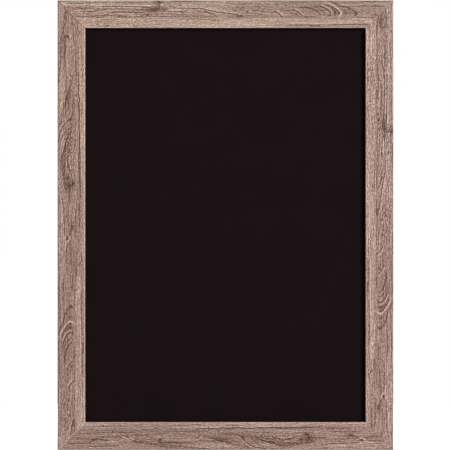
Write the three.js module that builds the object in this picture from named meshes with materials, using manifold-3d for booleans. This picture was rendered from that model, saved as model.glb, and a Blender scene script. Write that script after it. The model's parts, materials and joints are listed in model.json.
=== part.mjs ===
// A framed chalkboard that hangs on a wall.
// Millimetres, +Z up. The front faces -Y and the wall is the plane y = 0, behind the board.
// The origin is the point of the wall behind the board's centre.

import * as THREE from 'three';
import { mergeVertices } from 'three/addons/utils/BufferGeometryUtils.js';
import Module from 'manifold-3d';

const wasm = await Module();
wasm.setup();

// Driving dimensions

const BOARD_WIDTH = 500;
const BOARD_HEIGHT = 700;
const BOARD_THICKNESS = 3;
const BACKING_THICKNESS = 3;
const BOARD_PLAY = 1;

const FACE_WIDTH = 49;
const FRAME_DEPTH = 20;
const LIP_WIDTH = 5;
const LIP_THICKNESS = 9;
const OUTER_ROUNDING = 2.6;
const SIGHT_ROUNDING = 2.2;
const BACK_ROUNDING = 0.8;
const ARC_STEPS = 5;

const GAP = 0.25;
const MITRE_GAP = 0.1;

const NAIL_PLACES = { outer: 14, inner: 32 };
const NAIL_LEG = 5;
const NAIL_LIP = 1.6;
const NAIL_HALF_ANGLE = 50;
const NAIL_LIP_ANGLE = 78;
const NAIL_THICKNESS = 0.8;
const NAIL_DEPTH = 10;
const NAIL_PROUD = 0.1;

const SCREW_RADIUS = 1.75;
const SCREW_LENGTH = 12;
const SCREW_POINT = 3;
const HEAD_RADIUS = 3.5;
const HEAD_HEIGHT = 2.2;
const RECESS_REACH = 1.9;
const RECESS_WIDTH = 1.1;
const RECESS_DEPTH = 1.4;
const BORE_RADIUS = 2;

const BUTTON_THICKNESS = 1.2;
const BUTTON_HUB_RADIUS = 6;
const BUTTON_NOSE_RADIUS = 3.5;
const BUTTON_LENGTH = 22;
const BUTTON_HOLE_RADIUS = 2.1;
const BUTTON_SETBACK = 9;
const BUTTON_ALONG_RAIL = 110;
const BUTTON_ALONG_STILE = 185;

const STRAP_WIDTH = 10;
const STRAP_METAL = 0.8;
const STRAP_FOLD_GAP = 0.2;
const STRAP_SCREW_REACH = 17;
const STRAP_TAIL = 5.5;
const STRAP_RAMP_ANGLE = 135;
const EYE_RADIUS = 1.4;
const RING_WIRE_RADIUS = 1.1;
const RING_HALF_BAR = 6;
const RING_CORNER = 2.1;
const RING_REST_TILT = 6.5;
const HANGER_INSET = 20;
const HANGER_ALONG_RAIL = 185;
const HANGER_ALONG_STILE = 260;

const BUMPER_RADIUS = 5.5;
const BUMPER_TOP_RADIUS = 4;
const BUMPER_HEIGHT = 5;
const BUMPER_RIM = 0.6;
const BUMPER_ROUNDING = 0.8;
const BUMPER_INSET = 12;
const BUMPER_FROM_END = 30;

// Places worked out from them

const OUTER_WIDTH = BOARD_WIDTH + 2 * (BOARD_PLAY + FACE_WIDTH - LIP_WIDTH);
const OUTER_HEIGHT = BOARD_HEIGHT + 2 * (BOARD_PLAY + FACE_WIDTH - LIP_WIDTH);
const BACK_Y = -BUMPER_HEIGHT;
const FRONT_Y = BACK_Y - FRAME_DEPTH;
const LIP_BACK_Y = FRONT_Y + LIP_THICKNESS;
const BOARD_Y = LIP_BACK_Y + GAP;
const FILLER_Y = BOARD_Y + BOARD_THICKNESS + GAP;
const BACKING_Y = BACK_Y - BACKING_THICKNESS;
const FILLER_THICKNESS = BACKING_Y - GAP - FILLER_Y;
const BUTTON_Y = BACK_Y + GAP;
const BUTTON_INSET = FACE_WIDTH - LIP_WIDTH - BUTTON_SETBACK;
const EYE_HEIGHT = EYE_RADIUS + STRAP_METAL;
const STRAP_HEIGHT = 2 * STRAP_METAL + STRAP_FOLD_GAP;
const HEAD_ON_BUTTON_Y = BUTTON_Y + BUTTON_THICKNESS + GAP;
const HEAD_ON_STRAP_Y = BACK_Y + GAP + STRAP_HEIGHT + GAP;

// The four sides of the frame. Each is drawn as the top side is and turned about Y.
// reach is from the centre to the outer edge, and half is half of the outer edge's length.
const SIDES = [
  { name: 'top', node: 'frame_rail_top', turn: 0, ends: ['left', 'right'] },
  { name: 'right', node: 'frame_stile_right', turn: 90, ends: ['upper', 'lower'] },
  { name: 'bottom', node: 'frame_rail_bottom', turn: 180, ends: ['right', 'left'] },
  { name: 'left', node: 'frame_stile_left', turn: 270, ends: ['lower', 'upper'] },
];
for (const side of SIDES) {
  const upright = side.turn % 180 === 90;
  side.half = (upright ? OUTER_HEIGHT : OUTER_WIDTH) / 2;
  side.reach = (upright ? OUTER_WIDTH : OUTER_HEIGHT) / 2;
  side.buttonAlong = upright ? BUTTON_ALONG_STILE : BUTTON_ALONG_RAIL;
  side.upwards = side.turn === 0 || side.turn === 270 ? 1 : -1;
  side.hangerAlong = side.upwards * (upright ? HANGER_ALONG_STILE : HANGER_ALONG_RAIL);
}

// Materials

const paint = (colour, roughness, metalness) =>
  new THREE.MeshStandardMaterial({ color: colour, roughness, metalness });
const OAK_FOIL = paint(0x9b7f74, 0.6, 0);
const BLACK_BOARD = paint(0x1b1215, 0.9, 0);
const BROWN_CARD = paint(0xb08a5c, 0.9, 0);
const HARDBOARD = paint(0x6b4a33, 0.8, 0);
const ZINC = paint(0xb9bcc0, 0.35, 1);
const NICKEL = paint(0xc9c5bd, 0.25, 1);
const BLACK_RUBBER = paint(0x26262a, 0.8, 0);

// Small helpers

const radians = THREE.MathUtils.degToRad;

// The closed solid of a geometry, for cutting and joining.
function solid(geometry) {
  const bare = geometry.index ? geometry.toNonIndexed() : geometry.clone();
  bare.deleteAttribute('normal');
  bare.deleteAttribute('uv');
  const merged = mergeVertices(bare, 1e-4);
  return new wasm.Manifold(new wasm.Mesh({
    numProp: 3,
    vertProperties: new Float32Array(merged.attributes.position.array),
    triVerts: new Uint32Array(merged.index.array),
  }));
}

// The geometry of a solid, after cutting and joining.
function geometryOf(manifold) {
  const { vertProperties, triVerts } = manifold.getMesh();
  const geometry = new THREE.BufferGeometry();
  geometry.setAttribute('position', new THREE.BufferAttribute(vertProperties, 3));
  geometry.setIndex(new THREE.BufferAttribute(triVerts, 1));
  geometry.computeVertexNormals();
  return geometry;
}

// A flat outline in X and Z, as thick as said, with its front at frontY.
function plate(outline, frontY, thickness, curveSegments = 12) {
  const geometry = new THREE.ExtrudeGeometry(outline, {
    depth: thickness,
    bevelEnabled: false,
    curveSegments,
  });
  geometry.rotateX(Math.PI / 2);
  geometry.translate(0, frontY + thickness, 0);
  return geometry;
}

// A strip of metal seen on edge: its centre line with half its thickness on both sides.
function stripOutline(line, thickness) {
  const left = [];
  const right = [];
  line.forEach((point, i) => {
    const before = line[Math.max(i - 1, 0)];
    const after = line[Math.min(i + 1, line.length - 1)];
    const arriving = point.clone().sub(before).normalize();
    const leaving = after.clone().sub(point).normalize();
    const along = arriving.clone().add(leaving).normalize();
    const straight = arriving.lengthSq() > 0 ? arriving : leaving;
    const reach = thickness / 2 / Math.max(along.dot(straight), 0.5);
    const across = new THREE.Vector2(-along.y, along.x).multiplyScalar(reach);
    left.push(point.clone().add(across));
    right.push(point.clone().sub(across));
  });
  return new THREE.Shape([...left, ...right.reverse()]);
}

// Points of an arc about a centre, from one angle to another in degrees.
function arc(centreX, centreY, radius, from, to, steps) {
  const points = [];
  for (let i = 0; i <= steps; i += 1) {
    const angle = radians(from + (to - from) * i / steps);
    points.push(new THREE.Vector2(
      centreX + radius * Math.cos(angle),
      centreY + radius * Math.sin(angle),
    ));
  }
  return points;
}

// A round bar along Y from one y to another.
function roundBar(radius, fromY, toY, x, z, sides = 16) {
  const geometry = new THREE.CylinderGeometry(radius, radius, toY - fromY, sides);
  geometry.translate(x, (fromY + toY) / 2, z);
  return geometry;
}

// Frame moulding

// The L section of the moulding: distance in from the outer edge, and y. It has a rounded
// outer and sight edge in front, and the rabbet for the board behind the lip.
function mouldingSection() {
  const rabbet = FACE_WIDTH - LIP_WIDTH;
  const sight = FACE_WIDTH - SIGHT_ROUNDING;
  return new THREE.Shape([
    ...arc(OUTER_ROUNDING, FRONT_Y + OUTER_ROUNDING, OUTER_ROUNDING, 180, 270, ARC_STEPS),
    ...arc(sight, FRONT_Y + SIGHT_ROUNDING, SIGHT_ROUNDING, 270, 360, ARC_STEPS),
    new THREE.Vector2(FACE_WIDTH, LIP_BACK_Y),
    new THREE.Vector2(rabbet, LIP_BACK_Y),
    new THREE.Vector2(rabbet, BACK_Y),
    ...arc(BACK_ROUNDING, BACK_Y - BACK_ROUNDING, BACK_ROUNDING, 90, 180, 2),
  ]);
}

// One length of moulding along X, with both ends mitred at 45 degrees.
function mouldingLength(side) {
  const geometry = new THREE.ExtrudeGeometry(mouldingSection(), {
    depth: 1,
    bevelEnabled: false,
  });
  const position = geometry.attributes.position;
  for (let i = 0; i < position.count; i += 1) {
    const inwards = position.getX(i);
    const end = position.getZ(i) > 0.5 ? 1 : -1;
    const along = end * (side.half - inwards - MITRE_GAP);
    position.setXYZ(i, along, position.getY(i), side.reach - inwards);
  }
  return geometry;
}

// The V of a nail in X and Z, pointing along +Z, with its legs' ends bent further out.
function nailOutline(thickness) {
  const leg = [];
  for (const turn of [-1, 1]) {
    const open = radians(turn * NAIL_HALF_ANGLE);
    const lip = radians(turn * NAIL_LIP_ANGLE);
    const knee = new THREE.Vector2(Math.sin(open), -Math.cos(open)).multiplyScalar(NAIL_LEG);
    const end = new THREE.Vector2(Math.sin(lip), -Math.cos(lip)).multiplyScalar(NAIL_LIP);
    leg.push([knee, knee.clone().add(end)]);
  }
  const line = [leg[0][1], leg[0][0], new THREE.Vector2(0, 0), leg[1][0], leg[1][1]];
  return stripOutline(line, thickness);
}

// A nail, or the pocket that it sits in, whose tip lies on a mitre at the given place.
function nail(x, z, turnDegrees, gap) {
  const outline = nailOutline(NAIL_THICKNESS + 2 * gap);
  const geometry = plate(outline, BACK_Y + NAIL_PROUD - NAIL_DEPTH - gap, NAIL_DEPTH + 2 * gap);
  geometry.rotateY(radians(turnDegrees));
  geometry.translate(x, 0, z);
  return geometry;
}

function railGeometry(side) {
  let rail = solid(mouldingLength(side));
  for (const end of [-1, 1]) {
    for (const place of Object.values(NAIL_PLACES)) {
      const pocket = nail(end * (side.half - place), side.reach - place, end * 45, GAP);
      rail = rail.subtract(solid(pocket));
    }
    const bore = screwBore(end * side.buttonAlong, side.reach - BUTTON_INSET, HEAD_ON_BUTTON_Y);
    rail = rail.subtract(bore);
  }
  const hangerScrew = side.hangerAlong - side.upwards * STRAP_SCREW_REACH;
  rail = rail.subtract(screwBore(hangerScrew, side.reach - HANGER_INSET, HEAD_ON_STRAP_Y));
  return geometryOf(rail);
}

function screwBore(along, z, headY) {
  return solid(roundBar(BORE_RADIUS, headY - SCREW_LENGTH - GAP, BACK_Y + 1, along, z));
}

// Screws

// A pan-head screw along Y, its head towards +Y and the underside of the head at y = 0.
function screwGeometry() {
  const half = HEAD_HEIGHT / 2;
  const outline = [
    new THREE.Vector2(0, -SCREW_LENGTH),
    new THREE.Vector2(SCREW_RADIUS, -SCREW_LENGTH + SCREW_POINT),
    new THREE.Vector2(SCREW_RADIUS, 0),
    new THREE.Vector2(HEAD_RADIUS - 0.2, 0),
    new THREE.Vector2(HEAD_RADIUS, 0.2),
    ...arc(HEAD_RADIUS - half, half, half, 0, 90, 4),
    new THREE.Vector2(0, HEAD_HEIGHT),
  ];
  const body = solid(new THREE.LatheGeometry(outline, 20));
  const arms = [0, 90].map((turn) => {
    const arm = new THREE.BoxGeometry(2 * RECESS_REACH, 2 * RECESS_DEPTH, RECESS_WIDTH);
    arm.rotateY(radians(turn));
    arm.translate(0, HEAD_HEIGHT, 0);
    return solid(arm);
  });
  return geometryOf(body.subtract(arms[0].add(arms[1])));
}

// Turn buttons

// A flat pear-shaped plate: a hub circle about the screw and a smaller nose circle towards -Z,
// joined by the two lines that touch both.
function buttonGeometry() {
  const touch = THREE.MathUtils.radToDeg(
    Math.asin((BUTTON_HUB_RADIUS - BUTTON_NOSE_RADIUS) / BUTTON_LENGTH),
  );
  const outline = new THREE.Shape([
    ...arc(0, 0, BUTTON_HUB_RADIUS, -touch, 180 + touch, 14),
    ...arc(0, -BUTTON_LENGTH, BUTTON_NOSE_RADIUS, 180 + touch, 360 - touch, 8),
  ]);
  outline.holes.push(new THREE.Path().absarc(0, 0, BUTTON_HOLE_RADIUS, 0, 2 * Math.PI, true));
  return plate(outline, 0, BUTTON_THICKNESS, 8);
}

// Hangers

// The folded strip seen from the side: the lower layer, round the eye, down a short ramp and back
// over itself. x runs towards the ring's eye, and y is the height above the strap's lower face.
function strapLine() {
  const tail = -(STRAP_SCREW_REACH + STRAP_TAIL);
  const middle = STRAP_METAL / 2;
  const upper = STRAP_METAL + STRAP_FOLD_GAP + middle;
  const eye = arc(0, EYE_HEIGHT, EYE_RADIUS + middle, -90, STRAP_RAMP_ANGLE, 16);
  const top = eye.at(-1);
  return [
    new THREE.Vector2(tail, middle),
    ...eye,
    new THREE.Vector2(top.x - (top.y - upper), upper),
    new THREE.Vector2(tail, upper),
  ];
}

// The strap with its eye's axis along Z through the origin's x, its lower face at y = 0.
function strapGeometry() {
  const strip = new THREE.ExtrudeGeometry(stripOutline(strapLine(), STRAP_METAL), {
    depth: STRAP_WIDTH,
    bevelEnabled: false,
  });
  strip.translate(0, 0, -STRAP_WIDTH / 2);
  const half = STRAP_WIDTH / 2;
  const tailCentre = -(STRAP_SCREW_REACH + STRAP_TAIL - half);
  const plan = new THREE.Shape([
    new THREE.Vector2(EYE_HEIGHT + 1, -half),
    new THREE.Vector2(EYE_HEIGHT + 1, half),
    ...arc(tailCentre, 0, half, 90, 270, 12),
  ]);
  const rounded = solid(strip).intersect(solid(plate(plan, -1, 2 * EYE_HEIGHT + 2)));
  const hole = solid(roundBar(BUTTON_HOLE_RADIUS, -1, STRAP_HEIGHT + 1, -STRAP_SCREW_REACH, 0));
  return geometryOf(rounded.subtract(hole));
}

// The closed centre line of the D-ring in X and Z: a straight bar along Z through the origin, two
// small corners and a half circle that reaches towards -X.
class RingLine extends THREE.Curve {
  constructor() {
    super();
    const reach = RING_HALF_BAR + RING_CORNER;
    this.line = new THREE.Path();
    this.line.moveTo(0, -RING_HALF_BAR);
    this.line.lineTo(0, RING_HALF_BAR);
    this.line.absarc(-RING_CORNER, RING_HALF_BAR, RING_CORNER, 0, Math.PI / 2, false);
    this.line.absarc(-RING_CORNER, 0, reach, Math.PI / 2, 1.5 * Math.PI, false);
    this.line.absarc(-RING_CORNER, -RING_HALF_BAR, RING_CORNER, 1.5 * Math.PI, 2 * Math.PI, false);
  }

  getPoint(u, target = new THREE.Vector3()) {
    const point = this.line.getPointAt(u % 1);
    return target.set(point.x, 0, point.y);
  }
}

function ringGeometry() {
  return new THREE.TubeGeometry(new RingLine(), 44, RING_WIRE_RADIUS, 8, true);
}

// Bumpers

// A low truncated cone along Y with a rounded top edge, its flat end on the wall.
function bumperGeometry() {
  const height = BUMPER_HEIGHT - GAP;
  const topCentre = BUMPER_TOP_RADIUS - BUMPER_ROUNDING;
  const outline = [
    new THREE.Vector2(0, 0),
    new THREE.Vector2(BUMPER_RADIUS, 0),
    new THREE.Vector2(BUMPER_RADIUS, BUMPER_RIM),
    ...arc(topCentre, height - BUMPER_ROUNDING, BUMPER_ROUNDING, 20, 90, 3),
    new THREE.Vector2(0, height),
  ];
  return new THREE.LatheGeometry(outline, 24);
}

// Putting it together

function piece(name, geometry, material, parent) {
  const mesh = new THREE.Mesh(geometry, material);
  mesh.name = name;
  parent.add(mesh);
  return mesh;
}

function addBoards(parent) {
  const sheet = (thickness) => new THREE.BoxGeometry(BOARD_WIDTH, thickness, BOARD_HEIGHT);
  const layers = [
    ['chalkboard_panel', BOARD_Y, BOARD_THICKNESS, BLACK_BOARD],
    ['corrugated_filler', FILLER_Y, FILLER_THICKNESS, BROWN_CARD],
    ['backing_board', BACKING_Y, BACKING_THICKNESS, HARDBOARD],
  ];
  for (const [name, frontY, thickness, material] of layers) {
    piece(name, sheet(thickness), material, parent).position.y = frontY + thickness / 2;
  }
}

function addNails(parent) {
  for (const [across, x] of [['left', -1], ['right', 1]]) {
    for (const [height, z] of [['top', 1], ['bottom', -1]]) {
      for (const [place, inset] of Object.entries(NAIL_PLACES)) {
        const turn = THREE.MathUtils.radToDeg(Math.atan2(x, z));
        const tip = [x * (OUTER_WIDTH / 2 - inset), z * (OUTER_HEIGHT / 2 - inset)];
        piece(`v_nail_${height}_${across}_${place}`, nail(...tip, turn, 0), ZINC, parent);
      }
    }
  }
}

function addButtons(parent, side) {
  side.ends.forEach((end, i) => {
    const along = (i === 0 ? -1 : 1) * side.buttonAlong;
    const z = side.reach - BUTTON_INSET;
    const name = `turn_button_${side.name}_${end}`;
    piece(name, buttonGeometry(), ZINC, parent).position.set(along, BUTTON_Y, z);
    piece(`${name}_screw`, screwGeometry(), ZINC, parent).position.set(along, HEAD_ON_BUTTON_Y, z);
  });
}

function addHanger(parent, side) {
  const hanger = new THREE.Group();
  hanger.position.set(side.hangerAlong, BACK_Y + GAP, side.reach - HANGER_INSET);
  hanger.rotation.y = side.upwards > 0 ? 0 : Math.PI;
  parent.add(hanger);
  piece(`hanger_strap_${side.name}`, strapGeometry(), ZINC, hanger);
  const screw = piece(`hanger_screw_${side.name}`, screwGeometry(), ZINC, hanger);
  screw.position.set(-STRAP_SCREW_REACH, STRAP_HEIGHT + GAP, 0);
  const ring = piece(`hanger_ring_${side.name}`, ringGeometry(), NICKEL, hanger);
  ring.position.y = EYE_HEIGHT;
  ring.rotation.z = -radians(RING_REST_TILT);
}

function addBumpers(parent, side) {
  side.ends.forEach((end, i) => {
    const along = (i === 0 ? -1 : 1) * (side.half - BUMPER_FROM_END);
    const bumper = piece(`bumper_${side.name}_${end}`, bumperGeometry(), BLACK_RUBBER, parent);
    bumper.position.set(along, BACK_Y + GAP, side.reach - BUMPER_INSET);
  });
}

const chalkboard = new THREE.Group();
addBoards(chalkboard);
addNails(chalkboard);
for (const side of SIDES) {
  const group = new THREE.Group();
  group.rotation.y = radians(side.turn);
  chalkboard.add(group);
  piece(side.node, railGeometry(side), OAK_FOIL, group);
  addButtons(group, side);
  addHanger(group, side);
  if (side.turn % 180 === 90) {
    addBumpers(group, side);
  }
}

export default chalkboard;
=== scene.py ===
# %% [markdown]
# # A framed chalkboard
# A matt black writing board sits behind the lip of a wide, flat frame. The frame is cut from
# one moulding: a fibreboard core wrapped in a foil that is printed with grey-pink oak.
# The solids are already there, packed from the CAD program. This lesson gives them their looks.
# Everything is in metres, +Z up, the front faces -Y, and the wall is the plane y = 0.

# %% Load the packed model
import json
import math

import bmesh
import bpy
import numpy as np
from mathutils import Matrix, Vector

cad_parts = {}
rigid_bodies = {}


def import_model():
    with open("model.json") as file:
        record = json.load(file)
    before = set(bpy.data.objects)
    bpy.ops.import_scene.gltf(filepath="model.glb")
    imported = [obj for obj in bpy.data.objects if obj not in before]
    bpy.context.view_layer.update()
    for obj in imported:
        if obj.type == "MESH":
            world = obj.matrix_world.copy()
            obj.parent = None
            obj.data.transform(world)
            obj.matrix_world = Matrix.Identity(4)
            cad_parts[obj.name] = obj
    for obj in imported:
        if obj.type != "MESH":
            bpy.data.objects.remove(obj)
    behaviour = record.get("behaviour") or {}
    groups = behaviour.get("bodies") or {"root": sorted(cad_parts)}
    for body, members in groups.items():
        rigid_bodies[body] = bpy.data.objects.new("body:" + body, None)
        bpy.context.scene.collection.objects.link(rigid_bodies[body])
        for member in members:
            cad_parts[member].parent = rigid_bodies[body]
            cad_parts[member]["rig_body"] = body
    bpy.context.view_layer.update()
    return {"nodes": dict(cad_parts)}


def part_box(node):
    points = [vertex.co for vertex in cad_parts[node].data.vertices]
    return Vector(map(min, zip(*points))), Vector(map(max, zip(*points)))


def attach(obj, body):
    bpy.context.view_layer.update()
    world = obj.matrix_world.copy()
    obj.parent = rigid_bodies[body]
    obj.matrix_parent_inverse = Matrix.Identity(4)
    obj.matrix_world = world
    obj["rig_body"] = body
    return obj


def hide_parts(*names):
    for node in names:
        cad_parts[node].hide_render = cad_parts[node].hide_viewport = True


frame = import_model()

MM = 0.001
scene = bpy.context.scene
nodes = frame["nodes"]

# %% [markdown]
# ## The sizes that the pieces share
# A dressed piece lies exactly where its solid does, so it needs the same driving sizes. They are
# written once here, in millimetres, under the names that a frame maker would use.

# %% Shared sizes
OUTER_WIDTH, OUTER_HEIGHT = 590.0, 790.0
FACE_WIDTH = 49.0
LIP_WIDTH = 5.0
BACK_Y, FRONT_Y, LIP_BACK_Y = -5.0, -25.0, -16.0
OUTER_ROUNDING, SIGHT_ROUNDING, BACK_ROUNDING = 2.6, 2.2, 0.8
MITRE_GAP = 0.1
FIT = 0.25
RAIL_BUTTON_ALONG, STILE_BUTTON_ALONG = 110.0, 185.0
RAIL_HANGER_ALONG, STILE_HANGER_ALONG = 185.0, 260.0

SIDES = {
    "top": {"turn": 0, "node": "frame_rail_top", "ends": ("left", "right")},
    "right": {"turn": 90, "node": "frame_stile_right", "ends": ("upper", "lower")},
    "bottom": {"turn": 180, "node": "frame_rail_bottom", "ends": ("right", "left")},
    "left": {"turn": 270, "node": "frame_stile_left", "ends": ("lower", "upper")},
}
for name, side in SIDES.items():
    upright = side["turn"] % 180 == 90
    side["half"] = (OUTER_HEIGHT if upright else OUTER_WIDTH) / 2
    side["reach"] = (OUTER_WIDTH if upright else OUTER_HEIGHT) / 2
    side["button_along"] = STILE_BUTTON_ALONG if upright else RAIL_BUTTON_ALONG
    side["upwards"] = 1 if side["turn"] in (0, 270) else -1
    side["hanger_along"] = side["upwards"] * (STILE_HANGER_ALONG if upright else RAIL_HANGER_ALONG)
    print(name, "half length", side["half"], "reach", side["reach"])


def turned(points, degrees, other=2):
    """Points turned from another axis towards X: x' = x cos a + o sin a and o' = o cos a - x sin a."""
    a = math.radians(degrees)
    x, o = points[..., 0], points[..., other]
    result = np.array(points, float)
    result[..., 0] = x * math.cos(a) + o * math.sin(a)
    result[..., other] = o * math.cos(a) - x * math.sin(a)
    return result


# %% [markdown]
# ## From a grid of points to a piece
# Each new piece is a surface: rows and columns of points worked out as one array. A ring of
# columns closes on itself, and the rows either close as well, as on a wire ring, or end in
# caps. The signed volume tells whether the faces look outwards. If it is negative, every face
# is turned round.

# %% Surface helpers
def quads_of(rows, columns, rows_close):
    """Corners of every cell of a grid whose columns close: (r, c), (r, c+1), (r+1, c+1), (r+1, c)."""
    r = np.arange(rows if rows_close else rows - 1)[:, None]
    c = np.arange(columns)[None, :]
    below, beside = (r + 1) % rows, (c + 1) % columns
    cells = [r * columns + c, r * columns + beside, below * columns + beside, below * columns + c]
    return np.stack([np.broadcast_to(k, (r.size, c.size)) for k in cells], -1).reshape(-1, 4)


def volume_of(points, quads):
    """Sum of the signed volumes of the wedges that each face makes with the origin."""
    a, b, c, d = (points[quads[:, k]] for k in range(4))
    wedge = np.einsum("ij,ij->i", a, np.cross(b, c)) + np.einsum("ij,ij->i", a, np.cross(c, d))
    return wedge.sum() / 6


def surface(name, grid, materials, rows_close=False, finish_of=None, sharp=35):
    """A closed mesh from a grid of points in millimetres; finish_of picks a cell's material."""
    rows, columns = grid.shape[:2]
    points = grid.reshape(-1, 3)
    quads = quads_of(rows, columns, rows_close)
    inside_out = volume_of(points - points.mean(0), quads) < 0
    faces = quads[:, ::-1].tolist() if inside_out else quads.tolist()
    if not rows_close:
        first = list(range(columns))
        last = list(range((rows - 1) * columns, rows * columns))
        faces += [first if inside_out else first[::-1], last[::-1] if inside_out else last]
    mesh = bpy.data.meshes.new(name)
    mesh.from_pydata((points * MM).tolist(), [], faces)
    piece = bpy.data.objects.new(name, mesh)
    scene.collection.objects.link(piece)
    for material in materials:
        mesh.materials.append(material)
    if finish_of is not None:
        chosen = np.zeros(len(faces), np.int32)
        chosen[:len(quads)] = finish_of.reshape(-1)
        chosen[len(quads):] = finish_of.max()
        mesh.polygons.foreach_set("material_index", chosen)
    mesh.shade_smooth()
    mesh.set_sharp_from_angle(angle=math.radians(sharp))
    mesh.update()
    return piece


def stand_for(piece, node):
    """The piece rides where its solid does and hides it."""
    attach(piece, nodes[node]["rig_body"])
    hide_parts(node)
    return piece


def new_piece(name, grid, recipe, node, rows_close=False):
    """A closed surface in one finish that stands for a solid."""
    return stand_for(surface(name, grid, [recipe.material], rows_close), node)


print("a 3 x 4 tube has", len(quads_of(3, 4, False)), "cells")

# %% [markdown]
# ## A short way to write node trees
# A finish is a small network of nodes, which could be wired by hand in the shader editor. The
# first class below does the same in a few calls, and the second one keeps a material and knows
# what a finish needs, so that each recipe further down reads from top to bottom.

# %% Colour codes and wiring
def linear(code):
    """The linear light values of a hex colour, by the sRGB curve, with alpha 1."""
    values = np.array([int(code[i:i + 2], 16) / 255 for i in (0, 2, 4)])
    curve = np.where(values <= 0.04045, values / 12.92, ((values + 0.055) / 1.055) ** 2.4)
    return (*(float(v) for v in curve), 1.0)


class Wiring:
    """A node tree, with short calls that add and join nodes."""

    def __init__(self, tree):
        self.tree = tree

    def join(self, socket, value):
        """Links a socket to a socket, or sets it to a plain value."""
        if isinstance(value, bpy.types.NodeSocket):
            self.tree.links.new(value, socket)
        else:
            socket.default_value = value

    def filled(self, kind, *values):
        """A new node whose first inputs are joined to the values, in their order."""
        node = self.tree.nodes.new(kind)
        for socket, value in zip(node.inputs, values):
            self.join(socket, value)
        return node

    def maths(self, operation, a, b=0.0, c=0.0, clamp=False):
        node = self.filled("ShaderNodeMath", a, b, c)
        node.operation = operation
        node.use_clamp = clamp
        return node.outputs[0]


print("black board reads", [round(v, 4) for v in linear("1b1215")[:3]])

# %% Recipes
class Recipe(Wiring):
    """One material, with the calls that its finish needs."""

    def __init__(self, name, roughness=0.5, metallic=0.0, specular=0.5):
        self.material = bpy.data.materials.new(name)
        self.material.use_nodes = True
        super().__init__(self.material.node_tree)
        self.shader = self.tree.nodes["Principled BSDF"]
        self.shader.inputs["Roughness"].default_value = roughness
        self.shader.inputs["Metallic"].default_value = metallic
        self.shader.inputs["Specular IOR Level"].default_value = specular

    def place(self, uv=None):
        """Where on the piece we are: Object coordinates, or the piece's own UV map."""
        if uv:
            node = self.tree.nodes.new("ShaderNodeUVMap")
            node.uv_map = uv
            return node.outputs["UV"]
        return self.tree.nodes.new("ShaderNodeTexCoord").outputs["Object"]

    def painted(self, attribute, output="Fac"):
        """A value that the numpy cells stored on the mesh."""
        node = self.tree.nodes.new("ShaderNodeAttribute")
        node.attribute_name = attribute
        return node.outputs[output]

    def stretch(self, vector, sizes, shift):
        """The vector divided by the sizes of one cell, in metres, so a noise has those sizes."""
        node = self.filled("ShaderNodeVectorMath", vector, [1 / s if s else 0 for s in sizes], shift)
        node.operation = "MULTIPLY_ADD"
        return node.outputs[0]

    def swung(self, vector, degrees):
        """The vector turned about Z, so that a noise's own lattice doesn't lie along the piece."""
        node = self.tree.nodes.new("ShaderNodeVectorRotate")
        node.rotation_type = "Z_AXIS"
        self.join(node.inputs["Vector"], vector)
        node.inputs["Angle"].default_value = math.radians(degrees)
        return node.outputs[0]

    def noise(self, vector, sizes, detail=0.0, rough=0.5, shift=(0, 0, 0)):
        """Smooth noise from 0 to 1 whose cells have the given sizes in metres."""
        node = self.tree.nodes.new("ShaderNodeTexNoise")
        node.noise_dimensions = "3D" if sizes[2] else "2D"
        self.join(node.inputs["Vector"], self.stretch(vector, sizes, shift))
        node.inputs["Scale"].default_value = 1
        node.inputs["Detail"].default_value = detail
        node.inputs["Roughness"].default_value = rough
        return node.outputs[0]

    def spread(self, value, low, high, to_low=0.0, to_high=1.0):
        """The value's range low to high, moved to another range and clipped there."""
        return self.filled("ShaderNodeMapRange", value, low, high, to_low, to_high).outputs[0]

    def ramp(self, value, stops):
        """Colours along a scale; stops are (place, hex colour)."""
        node = self.filled("ShaderNodeValToRGB", value)
        band = node.color_ramp
        for place, code in stops[1:-1]:
            band.elements.new(place).color = linear(code)
        for end in (0, -1):
            band.elements[end].position, band.elements[end].color = stops[end][0], linear(stops[end][1])
        return node.outputs[0]

    def tinted(self, colour, tint):
        """One colour multiplied by another."""
        node = self.tree.nodes.new("ShaderNodeMix")
        node.data_type = "RGBA"
        node.blend_type = "MULTIPLY"
        node.inputs["Factor"].default_value = 1
        self.join(node.inputs[6], colour)
        self.join(node.inputs[7], tint)
        return node.outputs[2]

    def relief(self, height, depth, strength=1.0):
        """A bump of the given depth in metres."""
        node = self.tree.nodes.new("ShaderNodeBump")
        node.inputs["Strength"].default_value = strength
        node.inputs["Distance"].default_value = depth
        self.join(node.inputs["Height"], height)
        self.join(self.shader.inputs["Normal"], node.outputs[0])

    def colour(self, value):
        self.join(self.shader.inputs["Base Color"], value)

    def roughness(self, value):
        self.join(self.shader.inputs["Roughness"], value)


print("a recipe knows", [name for name in vars(Recipe) if not name.startswith("_")])

# %% [markdown]
# ## Camera, light and floor
# The photograph looks straight at the front from far off, so the camera stands twelve metres away
# and its picture is as wide as the board is tall. A large lamp high on the right gives the soft
# shadow inside the frame's lip. The world is white where it is seen, and dimmer where it lights.

# %% Camera
PICTURE_WIDTH = 790.65 * MM
CAMERA_DISTANCE = 12.0
CAMERA_X, CAMERA_Z = -0.7 * MM, 0.1 * MM
SENSOR = 36.0
camera = bpy.data.objects.new("camera", bpy.data.cameras.new("camera"))
camera.data.sensor_width = SENSOR
camera.data.lens = SENSOR * CAMERA_DISTANCE / PICTURE_WIDTH
camera.data.clip_end = 50
camera.location = (CAMERA_X, FRONT_Y * MM - CAMERA_DISTANCE, CAMERA_Z)
camera.rotation_euler = (math.radians(90), 0, 0)
scene.collection.objects.link(camera)
scene.camera = camera
scene.view_settings.view_transform = "Standard"
print("lens", round(camera.data.lens, 1), "mm")

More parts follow.
